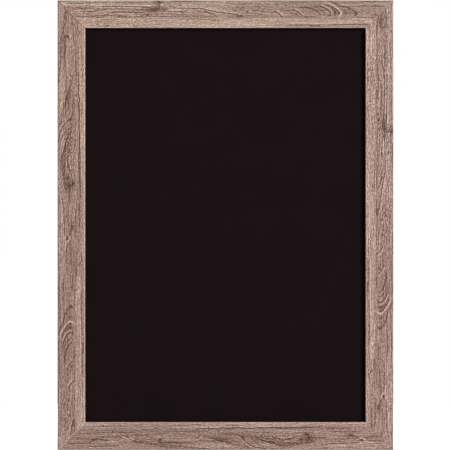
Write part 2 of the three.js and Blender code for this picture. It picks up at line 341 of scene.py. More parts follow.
# %% Lamps
def soft_lamp(name, place, size, watts, colour):
    """A square lamp that looks at the middle of the board and isn't seen itself."""
    lamp = bpy.data.lights.new(name, "AREA")
    lamp.shape = "SQUARE"
    lamp.size = size
    lamp.energy = watts
    lamp.color = colour
    holder = bpy.data.objects.new(name, lamp)
    holder.location = place
    away = np.array(place) / np.linalg.norm(place)
    holder.rotation_euler = (math.acos(away[2]), 0, math.atan2(away[1], away[0]) + math.pi / 2)
    holder.visible_camera = False
    scene.collection.objects.link(holder)
    print(name, watts, "W at", place)


LAMP_WHITE = (1.0, 0.99, 0.98)
soft_lamp("key_lamp", (5.5, -5.9, 3.3), 3.5, 738, LAMP_WHITE)
soft_lamp("back_lamp", (-2.0, 3.0, 2.2), 2.0, 110, LAMP_WHITE)

# %% World
AMBIENT = 0.14
world = bpy.data.worlds.new("studio")
scene.world = world
world.use_nodes = True
air = Wiring(world.node_tree)
background = air.tree.nodes["Background"]
background.inputs["Color"].default_value = (1, 1, 1, 1)
rays = air.tree.nodes.new("ShaderNodeLightPath").outputs
mirrored = air.maths("ADD", rays["Is Glossy Ray"], rays["Is Transmission Ray"])
seen = air.maths("ADD", rays["Is Camera Ray"], mirrored, clamp=True)
air.join(background.inputs["Strength"], air.maths("MULTIPLY_ADD", seen, 1 - AMBIENT, AMBIENT))
print("world lights at", AMBIENT, "and is seen at 1")

# %% Floor
# Only the camera sees the floor's glow, which lets it run into the white behind it.
FLOOR_REACH = 3.0
FLOOR_GAP = 0.0005
FLOOR_GLOW = 0.56
paper = Recipe("pale_floor_paper", roughness=0.9, specular=0.1)
spots = paper.noise(paper.place(), (0.4, 0.4, 0.4), detail=2)
paper.colour(paper.ramp(spots, [(0.3, "e9e8e6"), (0.7, "eeedeb")]))
glows = [paper.filled("ShaderNodeEmission", (1, 1, 1, 1), level).outputs[0] for level in (0, FLOOR_GLOW)]
seen = paper.tree.nodes.new("ShaderNodeLightPath").outputs["Is Camera Ray"]
pick = paper.filled("ShaderNodeMixShader", seen, *glows)
both = paper.filled("ShaderNodeAddShader", paper.shader.outputs[0], pick.outputs[0])
paper.join(paper.tree.nodes["Material Output"].inputs["Surface"], both.outputs[0])
low = -OUTER_HEIGHT / 2 * MM - FLOOR_GAP
corners = [(FLOOR_REACH * x, FLOOR_REACH * y, low) for x, y in ((-1, -1), (1, -1), (1, 1), (-1, 1))]
floor_mesh = bpy.data.meshes.new("floor")
floor_mesh.from_pydata(corners, [], [(0, 1, 2, 3)])
floor_mesh.materials.append(paper.material)
floor = bpy.data.objects.new("floor", floor_mesh)
scene.collection.objects.link(floor)
print("floor at", round(low, 4))

# %% [markdown]
# ## The figure of the oak
# The foil repeats one print of a plain-sawn oak board, 1.24 m long. All four lengths of moulding
# are cut from it, each from another stretch, so the same figure can be met on two sides.
# Plain-sawn oak shows long, nearly straight lines, then nested arches where the saw leaves the
# growth rings, with small knots between. A noise can't draw those in their places, so the main
# lines are drawn one by one, as a draughtsman would: a few points each, joined by a smooth curve.
# The sheet is ruled in steps. Each point is steps along the board and steps in from its edge.

# %% The ruling of the drawing
STEP = 1.757  # millimetres of foil for one step of the ruling
START = {"right": 0.0, "top": 29.6, "left": 185.0, "bottom": 364.8}  # where each length begins
for name, start in START.items():
    print(name, "begins", round(start * STEP), "mm along the print")

# %% Lines of the first stretch, up to the small knot
# Each line has how dark it is in steps of grey (less than 0 is pale: some pale lines are streaks
# of the print, others painted highlights along the grain), its width in steps and its points. A
# last number, where there is one, says on which side a pale companion lies (1 is inwards); that
# companion is a painted highlight.
# The margin is how many steps outside the board's edge the ruling of this stretch starts.
FIRST_MARGIN = 0.8
FIRST_LINES = [
    (42, 1.0, [(13, 7.6), (18, 7.2), (22, 7.5), (26, 9.3), (29.8, 13)]),
    (-34, 0.9, [(8, 6.4), (15, 6.1), (24, 6.5)]),
    (24, 1.0, [(14, 12), (19, 14), (25, 13.4)]),
    (34, 0.9, [(24, 17.2), (28, 17.4), (33, 17.2)]),
    (-40, 1.0, [(33, 3.4), (36, 4.6), (39, 4.2)]),
    (38, 0.9, [(40, 3.6), (48, 4.2), (60, 3.5), (78, 3.5)], 1),
    (30, 0.8, [(84, 3.2), (100, 2.6), (122, 2.8)]),
    (30, 0.9, [(32, 8), (42, 8.3), (55, 8.4), (66, 8)]),
    (50, 0.9, [(74, 7.3), (90, 7.1), (105, 7.2), (124, 7.7)], 1),
    (-34, 0.9, [(84, 5.6), (94, 5.8), (102, 5.9)]),
    (-80, 0.9, [(100, 5.9), (108, 6.1), (118, 6.1), (129, 6.2)]),
    (-30, 0.8, [(84, 8.5), (94, 8.4), (104, 8.4)]),
    (44, 0.9, [(46, 9.7), (55, 9.6), (63, 9.5)]),
    (-42, 0.9, [(45, 10.7), (56, 10.6), (67, 10.4)]),
    (44, 0.9, [(53, 11.9), (60, 12.3), (68, 11.5), (76, 10), (85, 9.5), (104, 9.5), (113, 10.3),
               (125, 10.4)]),
    (56, 1.0, [(79, 13.6), (88, 12.7), (95, 12.5), (103, 12.7), (114, 13.4)]),
    (-36, 0.9, [(79, 11.4), (90, 11.0), (102, 11.1)]),
    (-44, 1.0, [(80, 14.9), (88, 14.4), (100, 14.2), (110, 14.4)]),
    (36, 0.9, [(62, 17), (70, 16.5), (78, 15.6), (88, 15.6), (99, 15.6)]),
    (-34, 1.0, [(26, 15.5), (31, 15.2), (37, 15.3)]),
    (38, 1.1, [(27, 17.3), (45, 17.1), (60, 17.3), (72, 17.8), (80, 17)]),
    (34, 0.9, [(106, 17), (118, 17.6), (128, 17.2)]),
    (30, 0.9, [(26, 24.6), (32, 24.4)]),
    (-34, 1.0, [(34, 22.4), (44, 23), (54, 22.8)]),
    (-30, 1.0, [(26, 26.6), (36, 26.4), (48, 26.7)]),
    (46, 1.6, [(129, 1.2), (131, 2.6), (132.5, 4.4)]),
    (46, 0.9, [(112, 8.1), (120, 8.7), (129, 9)]),
    (46, 0.9, [(114, 10.4), (122, 10.5), (134, 9.6), (142, 9.4)]),
    (42, 0.9, [(115, 12.6), (124, 11.6), (133, 10.8)]),
    (48, 0.8, [(109, 10.3), (115, 10.2), (120, 10.6)]),
    (36, 0.8, [(119, 12.4), (124, 12.2), (134, 12.6)]),
    (34, 0.8, [(107, 13.8), (112, 13.5), (116, 13.6)]),
    (40, 0.8, [(116, 15.4), (121, 15.2)]),
    (36, 0.8, [(143, 12.1), (151, 12), (160, 11.7)]),
    (-42, 0.8, [(143, 13.6), (152, 13.4)]),
    (34, 0.8, [(142, 1.5), (150, 1.6), (159, 1.5)]),
    (-50, 0.9, [(139, 10.6), (146, 10.4), (152, 10.5)]),
    (-40, 0.9, [(137, 5.8), (141, 6.1)]),
]
print(len(FIRST_LINES), "lines on the first stretch")

# %% Lines of the second stretch, with the nested arches
SECOND_LINES = [
    (32, 0.9, [(128, 17.2), (146, 17.4), (166, 17.2), (188, 17.8)]),
    (24, 0.8, [(153, 19.5), (165, 19.4), (177, 19.7)]),
    (44, 1.1, [(144, 9.3), (160, 9.1), (174, 9.2), (180, 10.8), (187, 11.7), (193, 13),
               (200, 13.8), (207, 14.8), (213, 16), (218, 17)], -1),
    (38, 0.9, [(134, 10.9), (142, 12), (152, 12.3), (159, 13.1)]),
    (32, 0.9, [(144, 14.6), (152, 15), (160, 15.6)]),
    (34, 0.9, [(168, 11.8), (174, 12.2), (178, 13), (183, 14.1)], 1),
    (36, 0.9, [(176, 12), (184, 14), (187, 16), (190, 17.5)]),
    (36, 1.0, [(199, 17.3), (208, 17.5), (216, 17.7)]),
    (24, 0.9, [(178, 6.8), (186, 6.2), (196, 6.9)]),
    (32, 0.9, [(207, 8), (213, 8.3), (219, 8)]),
    (38, 0.9, [(226, 7.4), (232, 7.6)]),
    (36, 0.9, [(204, 11), (210, 11.4), (217, 11.2)]),
    (34, 0.9, [(222, 10.4), (229, 10.9), (236, 12)]),
    (36, 0.9, [(226, 14.2), (233, 15), (240, 16.4)]),
    (30, 0.8, [(200, 4.4), (212, 4.8), (224, 4.4), (236, 4.8)]),
    (-38, 1.0, [(216, 25.5), (228, 25.3), (241, 25.6)]),
    (-28, 1.2, [(190, 20.4), (204, 20.8), (220, 20.3)]),
    (56, 1.1, [(246, 11.3), (250, 13.5), (252.5, 15.5), (254.5, 17.4)], -1),
    (-52, 0.9, [(249, 11), (252.5, 13), (256.5, 15.6)]),
    (36, 0.8, [(251, 11.5), (257, 11.3), (263, 11.8)]),
    (48, 1.0, [(264, 10.6), (268, 11.6), (271, 13.4), (273, 15), (273, 16.4)]),
    (34, 0.9, [(262, 13), (267, 14.8), (271, 16.5)]),
    (-52, 0.9, [(267, 9), (270, 10.2), (273.5, 12.8)]),
    (52, 1.3, [(271, 7.4), (280, 8.2), (285, 9.7), (289, 11.4), (291.8, 14), (292.3, 16.6)]),
    (12, 1.1, [(276, 16.8), (284, 17.3), (289.6, 17)]),
    (50, 0.9, [(284, 6.4), (290, 8.3), (295, 12), (296.6, 14), (295.6, 16.4)]),
    (60, 1.2, [(289, 6.2), (296, 8), (300, 10.5), (302.5, 13), (302, 15.5), (298.5, 17.2)]),
    (-60, 0.9, [(293, 5.2), (298, 7.2), (303, 11), (304, 14.4)]),
    (46, 0.9, [(294, 5), (301, 7.2), (305.6, 10), (307.4, 13), (306.2, 15.6)]),
    (48, 1.2, [(299, 5.2), (306, 8.2), (310, 11.2), (311.3, 13.6), (309.6, 16.2)]),
    (-70, 1.2, [(297, 2.6), (303, 4.8), (308, 7.9), (311.5, 10.8), (313.4, 13), (312.8, 15.4),
                (311, 17.2)]),
    (54, 1.3, [(300, 1.5), (306, 3.5), (312, 6.4), (318, 7.5), (322, 9), (325.7, 11.5),
               (328.6, 14), (326.2, 16)]),
    (-28, 0.9, [(310, 3.4), (316, 5.4), (321, 6.3)]),
    (40, 0.9, [(329, 6.5), (337, 6.3), (346, 6.6), (357, 6.4)]),
    (32, 0.9, [(316, 2.6), (328, 2.8), (344, 2.2), (362, 2.6)]),
    (34, 0.9, [(345, 15.4), (352, 15.7), (360, 15.3)]),
    (32, 1.0, [(228, 1.5), (250, 1.2), (276, 1.3), (301, 1.4)]),
    (24, 0.9, [(248, 17.4), (270, 17.5), (290, 17.7)]),
    (-36, 1.3, [(262, 23.4), (285, 23.6), (302, 23.2), (330, 23)]),
    (36, 1.0, [(258, 26), (276, 25.7), (292, 26.2)]),
    (32, 1.0, [(300, 25.6), (314, 25), (330, 25.2), (346, 25)]),
    (-40, 1.6, [(337, 22.5), (350, 22.3), (362, 22.6)]),
    (-28, 1.2, [(320, 19.4), (340, 19.6), (358, 20)]),
]
print(len(SECOND_LINES), "lines on the second stretch")

# %% Lines of the third stretch, with the open knot
THIRD_MARGIN = 0.3
THIRD_LINES = [
    (26, 0.9, [(368, 9.4), (380, 9.6), (388, 9.7), (391, 11.4), (394, 12.9)]),
    (-44, 0.9, [(384, 8.4), (389, 8), (395.4, 8.6)]),
    (-90, 0.9, [(396.4, 8.6), (399, 6.6)]),
    (-110, 0.9, [(392.2, 10.2), (395, 11.7), (399.4, 13.2)]),
    (42, 0.9, [(397, 9), (402, 7.6), (410, 7), (420, 6.8), (430, 6), (438, 5.4)]),
    (42, 0.9, [(396, 9), (397.6, 10.4)]),
    (42, 0.9, [(398.6, 12), (403, 13.6), (407.5, 15.3)]),
    (40, 0.8, [(410.6, 15.4), (413.6, 14.9)]),
    (-34, 1.2, [(411, 5), (422, 4.7), (433, 4.8)]),
    (36, 0.9, [(369, 22.4), (374, 23.8), (373, 26)]),
    (36, 0.9, [(375, 25.6), (379, 23.4), (383, 24.6)]),
    (34, 0.9, [(360, 19), (372, 19.2)]),
    (32, 0.9, [(366, 14), (380, 13.4), (391, 13.7)]),
    (32, 0.9, [(396, 18.6), (412, 18.2), (428, 18.8)]),
    (34, 0.9, [(407, 22), (418, 22), (430, 22.3)]),
    (30, 0.8, [(408, 11.4), (420, 11), (434, 10.6)]),
    (42, 0.9, [(433, 12.7), (438, 12.3), (446, 12.6)]),
    (66, 1.0, [(452, 8.2), (449.6, 10.6), (449, 13), (451.2, 15.8)]),
    (40, 0.8, [(446.4, 9.4), (445.6, 11.6), (447, 14)]),
    (52, 0.9, [(443, 9.2), (446, 8), (452, 7.2), (461, 7), (471, 7.1), (480, 7.5)]),
    (42, 0.9, [(456, 6.2), (463, 5.6), (468, 5.1), (474, 4.3), (481, 5.2)]),
    (46, 0.9, [(458.6, 14.8), (461, 13.9), (464.5, 12.8)]),
    (60, 1.0, [(464, 12.8), (468, 11.6), (472, 10.6), (476, 10.4), (480, 11.4)]),
    (54, 0.9, [(481, 11.6), (485, 13), (488.5, 15.6)]),
    (-44, 0.9, [(461, 16), (466, 14), (472, 12.7), (479, 13)]),
    (-36, 0.9, [(462, 10.6), (467, 9.2), (476, 8.9)]),
    (62, 1.1, [(476, 4.5), (483, 6.2), (490, 7.8), (496, 9.6), (500.4, 11.8), (503, 14.4)], -1),
    (50, 0.9, [(482, 8.2), (488, 9.4), (492, 11.2), (496, 13.3), (498.6, 15.8)]),
    (44, 0.9, [(482, 9.8), (488, 11.6), (492.4, 13.8), (494.6, 16)]),
    (-34, 0.9, [(486, 8.8), (492, 10.4), (497.4, 12.8), (500.4, 15.4)]),
    (36, 0.8, [(488.5, 17.2), (492, 17.9), (496, 17)]),
    (46, 0.8, [(484, 6.9), (489, 8.9), (493, 9.2)]),
    (46, 0.8, [(489, 10.2), (494, 11.9), (497.6, 12.3)]),
    (38, 0.9, [(490, 2.7), (498, 4.5), (503, 8), (506, 12), (507, 15.2)]),
    (-46, 0.9, [(489, 4.4), (495, 5.4), (500, 8)]),
    (-30, 0.9, [(497, 3.4), (502, 5.2), (505.6, 8.6)]),
    (34, 0.8, [(495, 7), (499.4, 9.6), (502.6, 12.2), (504, 15)]),
    (56, 1.0, [(492, 1.5), (500, 2.5), (505, 4), (510, 7), (514, 10), (516, 13),
               (521.5, 15.2)], -1),
    (36, 0.9, [(500, 1.5), (508, 3), (515, 4.3), (522, 4.5), (528, 6.5), (533, 7)]),
    (56, 1.0, [(521, 8.4), (532, 8), (539, 9.3), (543, 11), (549, 12.5), (552.4, 15.2)], -1),
    (34, 0.9, [(553, 15.4), (558, 15), (560, 12.6), (564, 13.2)]),
    (68, 1.1, [(438, 23.4), (465, 22.8), (480, 23), (490, 22.5), (510, 22), (520, 22.5),
               (530, 21.7), (535, 22.3), (540, 21.5), (552, 21.8), (563, 21.2)], 1),
    (30, 0.8, [(498, 24.5), (514, 24.4), (530, 24.5)]),
    (40, 1.0, [(548, 1.5), (560, 2), (570, 3), (580, 3.5), (590, 3), (597, 4), (602, 5),
               (605, 6.5), (611, 7), (618, 8)]),
    (20, 1.6, [(568, 7.9), (584, 7.7), (600, 7.9)]),
    (22, 0.9, [(572, 12.2), (581, 12.4), (589, 12.1)]),
    (-42, 1.0, [(560, 10.4), (580, 10.3), (600, 10.5)]),
    (36, 0.9, [(593, 16.5), (601, 16.5)]),
    (16, 0.9, [(560, 18.4), (576, 18.6), (598, 18.1)]),
    (14, 0.9, [(566, 14.6), (580, 14.9), (592, 14.6)]),
]
print(len(THIRD_LINES), "lines on the third stretch")

# %% Lines of the last stretch
LAST_MARGIN = 0.1
LAST_LINES = [
    (50, 1.2, [(616, 7.2), (621, 7.5), (624, 9.5), (628, 11.5), (632, 13.5), (635, 15.4)]),
    (-100, 1.0, [(624, 10.2), (629.5, 12.2)]),
    (-100, 1.0, [(629, 10.2), (635.5, 13.2)]),
    (46, 0.9, [(650, 9.6), (656, 10.3), (668, 10.5)]),
    (50, 1.1, [(658, 10.5), (662, 10.6), (666, 10.5)]),
    (40, 0.9, [(663, 10.6), (666, 8.6), (670, 6.8)]),
    (34, 0.9, [(669, 6.8), (675, 6.4), (690, 6.2)]),
    (34, 0.9, [(618, 24.5), (627, 24.5)]),
    (34, 0.9, [(606, 13.6), (616, 14.2), (626, 15.6)]),
    (20, 0.8, [(636, 12.8), (648, 13.3), (660, 13)]),
    (-26, 0.9, [(646, 14.6), (660, 14.7), (675, 14.4)]),
    (24, 0.8, [(622, 17.4), (636, 17.2), (652, 17.3), (668, 17)]),
    (18, 0.8, [(626, 20.6), (640, 20.8), (656, 20.5)]),
    (32, 0.9, [(640, 4.4), (655, 4.2), (668, 3.6)]),
    (-36, 1.0, [(640, 8.2), (652, 8), (664, 8.3)]),
    (20, 0.9, [(668, 12.2), (680, 11.8), (692, 11.9)]),
    (24, 0.8, [(628, 24), (642, 23.8), (662, 24.2)]),
    (22, 0.8, [(596, 21), (606, 20.6), (616, 20.8)]),
]
print(len(LAST_LINES), "lines on the last stretch")

# %% Smudges
# Round or long patches: how dark, then the place and the two half sizes, all in steps.
FIRST_PATCHES = [
    (14, 20, 13.6, 8, 3.6), (14, 91, 16.6, 6, 1.4), (36, 97, 17.3, 1.1, 0.8),
    (40, 120, 15.5, 1.6, 1.0), (24, 128, 9.0, 6, 2.2), (14, 137, 9.4, 6, 1.4), (22, 131, 2.6, 4, 2),
    (-62, 134, 5.5, 1.2, 0.8), (-44, 35.5, 4.4, 1.5, 0.9), (-34, 230.5, 12.4, 1.4, 0.8),
    (40, 219.6, 12.3, 1.3, 0.9), (10, 168, 12.4, 10, 2.6), (26, 79, 20.8, 1.3, 0.9),
    (34, 328, 15, 1.4, 1.2), (5, 284, 12.6, 7, 3.4), (16, 307, 13.6, 3, 2.6), (5, 210, 9, 26, 5),
    (26, 107, 26.4, 2, 0.8), (30, 79, 26.2, 2.6, 0.8), (14, 318, 12.8, 6, 3),
]
THIRD_PATCHES = [
    (46, 396, 10.2, 1.3, 1.0), (16, 449, 12, 4.2, 3.8), (44, 451.4, 16, 1.8, 1.1),
    (44, 457, 10.5, 1.5, 0.9), (-50, 459.4, 15.4, 1.8, 1.1), (22, 494, 9, 2.6, 0.9),
    (8, 500, 12, 5, 3), (34, 515.6, 12.4, 1.7, 1.8), (62, 597.6, 10.5, 1.9, 0.8),
    (7, 470, 9, 16, 2.4), (12, 535, 10.5, 12, 3), (12, 585, 6, 24, 2.6), (14, 400, 12, 18, 3),
    (30, 407.5, 15.3, 2.4, 1.1),
]
print(len(FIRST_PATCHES) + len(THIRD_PATCHES), "patches")

# %% [markdown]
# ## Painting the figure on the moulding
# The drawing becomes numbers on the mesh: for every point of a fine grid, numpy finds how far
# the nearest curve is and adds a soft line there, some with a painted highlight beside it. Three
# more numbers say how pale the wood is at that point, with painted light and shade at its edges,
# how curly its grain is and how strong the grain's contrast is. The shader later breaks the lines
# up along the wood's fibres and adds streaks and pores.

# %% Curves through a few points
def smooth_line(points, steps=6):
    """A curve through the points: in each span a cubic leaves a point parallel to its neighbours' chord."""
    p = np.array(points, float)
    held = np.vstack([2 * p[0] - p[1], p, 2 * p[-1] - p[-2]])
    t = np.linspace(0, 1, steps, endpoint=False)[None, :, None]
    a, b, c, d = (held[k:len(held) - 3 + k][:, None] for k in range(4))
    spans = (2 * b + (c - a) * t + (2 * a - 5 * b + 4 * c - d) * t ** 2
             + (3 * b - a - 3 * c + d) * t ** 3) / 2
    return np.vstack([spans.reshape(-1, 2), p[-1]])


LINE_HALF = 0.37
FADED_SHARE, FADED_LEVEL = 0.15, 0.3
# The pale companion beside a drawn line is a painted highlight: where it lies, how wide, how strong.
HIGHLIGHT_AT, HIGHLIGHT_HALF, HIGHLIGHT_SHARE = 1.15, 0.45, 0.5
FAR_FROM_LINE = 3


def draw_line(dark, along, across, line, margin):
    """Adds one line: a bell curve of the distance to it, fading at both ends of its length."""
    grey, width, points, *highlight_sides = line
    path = smooth_line(points) - (0, margin)
    low, high = path.min(0) - FAR_FROM_LINE, path.max(0) + FAR_FROM_LINE
    near = np.nonzero((along > low[0]) & (along < high[0]) & (across > low[1]) & (across < high[1]))
    if len(near[0]) == 0:
        return
    spot = np.stack([along[near], across[near]], -1)[:, None]
    start, run = path[:-1], np.diff(path, axis=0)
    part = np.clip(((spot - start) * run).sum(-1) / (run ** 2).sum(-1), 0, 1)
    off = spot - start - part[..., None] * run
    distance = np.hypot(off[..., 0], off[..., 1])
    best = distance.argmin(1)
    rows = np.arange(len(best))
    gap = distance[rows, best]
    turn = run[best, 0] * off[rows, best, 1] - run[best, 1] * off[rows, best, 0]
    place = (best + part[rows, best]) / len(run)
    from_end = np.clip(np.minimum(place, 1 - place) / FADED_SHARE, 0, 1)
    shown = grey * (FADED_LEVEL + (1 - FADED_LEVEL) * from_end)
    dark[near] += shown * np.exp(-(gap / (LINE_HALF * width)) ** 2)
    # A pale companion beside the line is a painted highlight, as on an embossed edge.
    for side in highlight_sides:
        beside = np.sign(turn) * gap - HIGHLIGHT_AT * side
        dark[near] -= HIGHLIGHT_SHARE * shown * np.exp(-(beside / HIGHLIGHT_HALF) ** 2)


def draw_patch(field, along, across, patch, margin):
    """Adds a soft oval: a bell curve in both directions."""
    amount, s, v, half_s, half_v = patch
    field += amount * np.exp(-((along - s) / half_s) ** 2 - ((across - v + margin) / half_v) ** 2)


print("a line of three points becomes", len(smooth_line([(0, 0), (1, 1), (2, 0)])), "points")

# %% Zones of the board
# All places are in steps along the board and in from its edge, like those of the lines. A soft
# oval has how many steps of grey it is paler, or below 0 darker, then its place and half sizes.
SOFT_AREAS = [
    (-12, 36, 2.4, 9, 3), (-18, 130, 4.2, 9, 2.6), (-31, 170, 1, 30, 2), (-21, 270, 3.6, 34, 3),
    (-15, 476, 4.2, 10, 2.4), (-15, 517, 4.6, 9, 2.4), (19, 563, 4.6, 26, 2.2),
    (13, 183, 7.4, 21, 5), (26, 156, 10.3, 15, 2.2), (25, 400, 10, 20, 3.2), (15, 396, 16.2, 9, 2),
    (-21, 456, 13, 9, 5), (-24, 537, 10.6, 10, 2.4), (-15, 617, 10.4, 9, 2.4), (12, 303, 15, 50, 3),
    (10, 584, 13.4, 16, 2.2), (-24, 220, 16.6, 18, 2), (-27, 191, 19.6, 25, 2),
    (-17, 364, 16.6, 15, 2.2), (-22, 525, 16.2, 18, 2.2), (15, 474, 19.4, 60, 1.8),
    (-13, 568, 19.6, 17, 2), (-11, 80, 23, 27, 3), (-25, 436, 22.4, 60, 1.9), (-16, 598, 24, 26, 3),
    (-19, 305, 25.6, 58, 2), (15, 504, 25.6, 30, 1.8),
]
# The tone along the board, the line where the pale inner band begins, and the tones across.
TONE_ALONG = (0, 75, 130, 195, 260, 330, 425, 480, 575, 704)
TONE_STEPS = (1, 3, -3, 9, -2, -2, 2, 0, 3, 0)
PALE_EDGE_ALONG = (0, 200, 330, 440, 560, 704)
PALE_EDGE_ACROSS = (16.6, 16.8, 18.6, 22.6, 20.8, 20.6)
MIDDLE_BAND, OUTER_BAND, INNER_BAND = -8, 10, 18
OUTER_BAND_END = 6.4
# A painted highlight along the sight arris: where it lies, its half width and how pale it is.
ARRIS_AT, ARRIS_HALF, ARRIS_PAINTED_HIGHLIGHT = 27.1, 0.6, 24
# Painted shade over the lip's inner wall, beyond the sight edge, as if it lay in shadow.
LIP_WALL_AT, LIP_WALL_PAINTED_SHADE = 27.55, -75


def ease(x):
    """0 below 0, 1 above 1 and a smooth step between."""
    x = np.clip(x, 0, 1)
    return x * x * (3 - 2 * x)


def bell(x, middle, half):
    """A bell curve, 1 in its middle: exp(-((x - middle) / half)^2)."""
    return np.exp(-((x - middle) / half) ** 2)


def zone_tone(along, across):
    """Steps of grey above the middle: three bands, soft ovals, an arris highlight and lip shade, both
    painted.
    """
    pale_edge = np.interp(along, PALE_EDGE_ALONG, PALE_EDGE_ACROSS)
    tone = np.interp(along, TONE_ALONG, TONE_STEPS) + MIDDLE_BAND
    tone += OUTER_BAND * ease(OUTER_BAND_END - across) + INNER_BAND * ease(across - pale_edge + 0.5)
    for area in SOFT_AREAS:
        draw_patch(tone, along, across, area, 0)
    # Painted highlight on the sight arris.
    tone += ARRIS_PAINTED_HIGHLIGHT * bell(across, ARRIS_AT, ARRIS_HALF)
    # Painted shade down the lip's inner wall.
    return tone + LIP_WALL_PAINTED_SHADE * ease(2 * (across - LIP_WALL_AT))


sample = zone_tone(np.full(5, 90.0), np.array([2.0, 8, 14, 20, 26]))
print("zone tone across the board:", sample.round(1))

# %% The whole figure
# Where the grain is curlier than elsewhere, and where its contrast is stronger or weaker.
CURLY_PLACES = [
    (1.0, 88, 22, 34, 5), (1.6, 131, 8, 10, 4.5), (0.6, 243, 12, 26, 5), (0.8, 478, 12, 26, 5),
    (0.9, 553, 13.5, 12, 4), (0.5, 655, 17, 24, 7), (0.1, 308, 12, 16, 5), (0.8, 376, 24, 9, 3),
    (0.6, 640, 12, 14, 5), (0.6, 450, 12, 8, 4),
]
LIVELY_PLACES = [
    (0.2, 62, 5, 36, 7), (0.3, 156, 8, 22, 8), (0.2, 110, 19, 30, 5), (-0.55, 282, 12.8, 7, 2.8),
    (-0.4, 303, 11.5, 12, 5), (-0.2, 216, 18.5, 24, 3), (-0.3, 390, 13, 24, 5),
    (0.25, 482, 15, 18, 8), (-0.2, 340, 14, 14, 5), (0.3, 540, 18, 14, 3), (0.3, 572, 24, 60, 3),
    (0.35, 225, 24, 16, 3), (-0.2, 545, 8.5, 14, 3),
]
PLAIN_CURL = 0.15
LINE_STRENGTH, PALE_SHARE = 2.35, 0.55
PALEST_LINE, DARKEST_LINE = -75, 125
DRAWING = (
    (FIRST_LINES, FIRST_PATCHES, FIRST_MARGIN), (SECOND_LINES, [], FIRST_MARGIN),
    (THIRD_LINES, THIRD_PATCHES, THIRD_MARGIN), (LAST_LINES, [], LAST_MARGIN),
)


def painted_figure(along, across):
    """How dark the drawn lines are, how curly the grain is and how strong, at each point."""
    dark, curl, lively = (np.full(along.shape, start) for start in (0.0, PLAIN_CURL, 1.0))
    for lines, patches, margin in DRAWING:
        for line in lines:
            draw_line(dark, along, across, line, margin)
        for patch in patches:
            draw_patch(dark, along, across, patch, margin)
    for patch in CURLY_PLACES:
        draw_patch(curl, along, across, patch, FIRST_MARGIN)
    for patch in LIVELY_PLACES:
        draw_patch(lively, along, across, patch, 0)
    dark = LINE_STRENGTH * np.where(dark < 0, PALE_SHARE * dark, dark)
    return np.clip(dark, PALEST_LINE, DARKEST_LINE), curl, lively


print(sum(len(lines) for lines, patches, margin in DRAWING), "lines in all")

# %% [markdown]
# ## The foil's finish
# On the real moulding a printed paper foil, sealed with a satin lacquer, is glued round the core.
# The print is built in steps of grey, the way the photograph shows it: a middle tone, long and
# short streaks, a grit that hair-fine fibres pull apart along the grain, growth lines a few
# millimetres apart, dark pores, and the drawn figure on top. Everything reads the plank's own UV
# map, so the streaks run along each length and turn the corner at each mitre.

# %% Layers of the print
# For each noise the length and width of its cells in millimetres, and where in the endless noise
# it starts, so that no two layers are alike.
LAYERS = {
    "sway": (75, 20, (0, 0)), "drift": (90, 14, (0, 0)), "long_streaks": (50, 1.6, (3, 7)),
    "short_streaks": (6.6, 1.6, (31, 5)), "fibre": (12, 0.32, (23, 67)), "grit": (2.2, 1.0, (59, 13)),
    "growth_sway": (160, 30, (2, 91)), "growth_gaps": (35, 7, (13, 37)), "pores": (8.5, 1.4, (17, 43)),
    "curls": (3.2, 2.1, (5, 71)), "breaks": (4.8, 2.4, (11, 23)), "hair_lines": (12, 0.5, (7, 19)),
    "hair_pores": (4.5, 0.35, (41, 3)),
}
# How many steps of grey each one is worth.
GREYS = {"drift": 15, "long_streaks": 58, "short_streaks": 62, "grit": 184, "growth": 20,
         "pores": 26, "curls": 140, "hair_lines": 44, "hair_pores": 34}
NEIGHBOUR_GAP, NEIGHBOUR_SHARE = 1.7, 0.62
PORE_LOW, PORE_HIGH = 0.60, 0.74
foil = Recipe("oak_foil", specular=0.35)
plank = foil.place(uv="plank")


def layer(name, vector, detail=0.0, inwards=0.0):
    """One noise of the print, from 0 to 1, or the same read a few millimetres further in."""
    length, width, (first, second) = LAYERS[name]
    shift = (first, second + inwards / width, 0)
    return foil.noise(vector, (length * MM, width * MM, 0), detail=detail, shift=shift)


def both_ways(grey, field, amount):
    """Grey, paler where the field is over a half and darker where it is under."""
    return foil.maths("ADD", grey, foil.maths("MULTIPLY", foil.maths("SUBTRACT", field, 0.5), amount))


def darker(grey, field, amount):
    """Grey less the field times the amount."""
    return foil.maths("SUBTRACT", grey, foil.maths("MULTIPLY", field, amount))


def crisp_streaks(grey, name):
    """A noise less a share of its own neighbour further in, which leaves thin, sharp streaks."""
    here = foil.maths("SUBTRACT", layer(name, grain), (1 - NEIGHBOUR_SHARE) / 2)
    beside = layer(name, grain, inwards=NEIGHBOUR_GAP)
    edge = foil.maths("MULTIPLY_ADD", beside, -NEIGHBOUR_SHARE, here)
    return foil.maths("MULTIPLY_ADD", edge, GREYS[name], grey)


print(len(LAYERS), "layers of noise")

# %% Grain of the print
# How far the grain sways sideways and the fibres pull the grit along, and two angles in degrees.
SWAY, FRAY = 3.6 * MM, 5.0 * MM
GRIT_SWING, CURL_SWING = 7, -28
split = foil.filled("ShaderNodeSeparateXYZ", plank).outputs
swayed = foil.maths("MULTIPLY_ADD", layer("sway", plank, detail=1), SWAY, split[1])
grain = foil.filled("ShaderNodeCombineXYZ", split[0], swayed).outputs[0]
grey = both_ways(0.0, layer("drift", grain, detail=1), GREYS["drift"])
grey = crisp_streaks(grey, "long_streaks")
grey = crisp_streaks(grey, "short_streaks")

fibre = layer("fibre", plank)
pulled = foil.maths("MULTIPLY_ADD", fibre, FRAY, split[0])
frayed = foil.filled("ShaderNodeCombineXYZ", pulled, split[1]).outputs[0]
grey = both_ways(grey, layer("grit", foil.swung(frayed, GRIT_SWING)), GREYS["grit"])
print("grain nodes:", len(foil.tree.nodes))

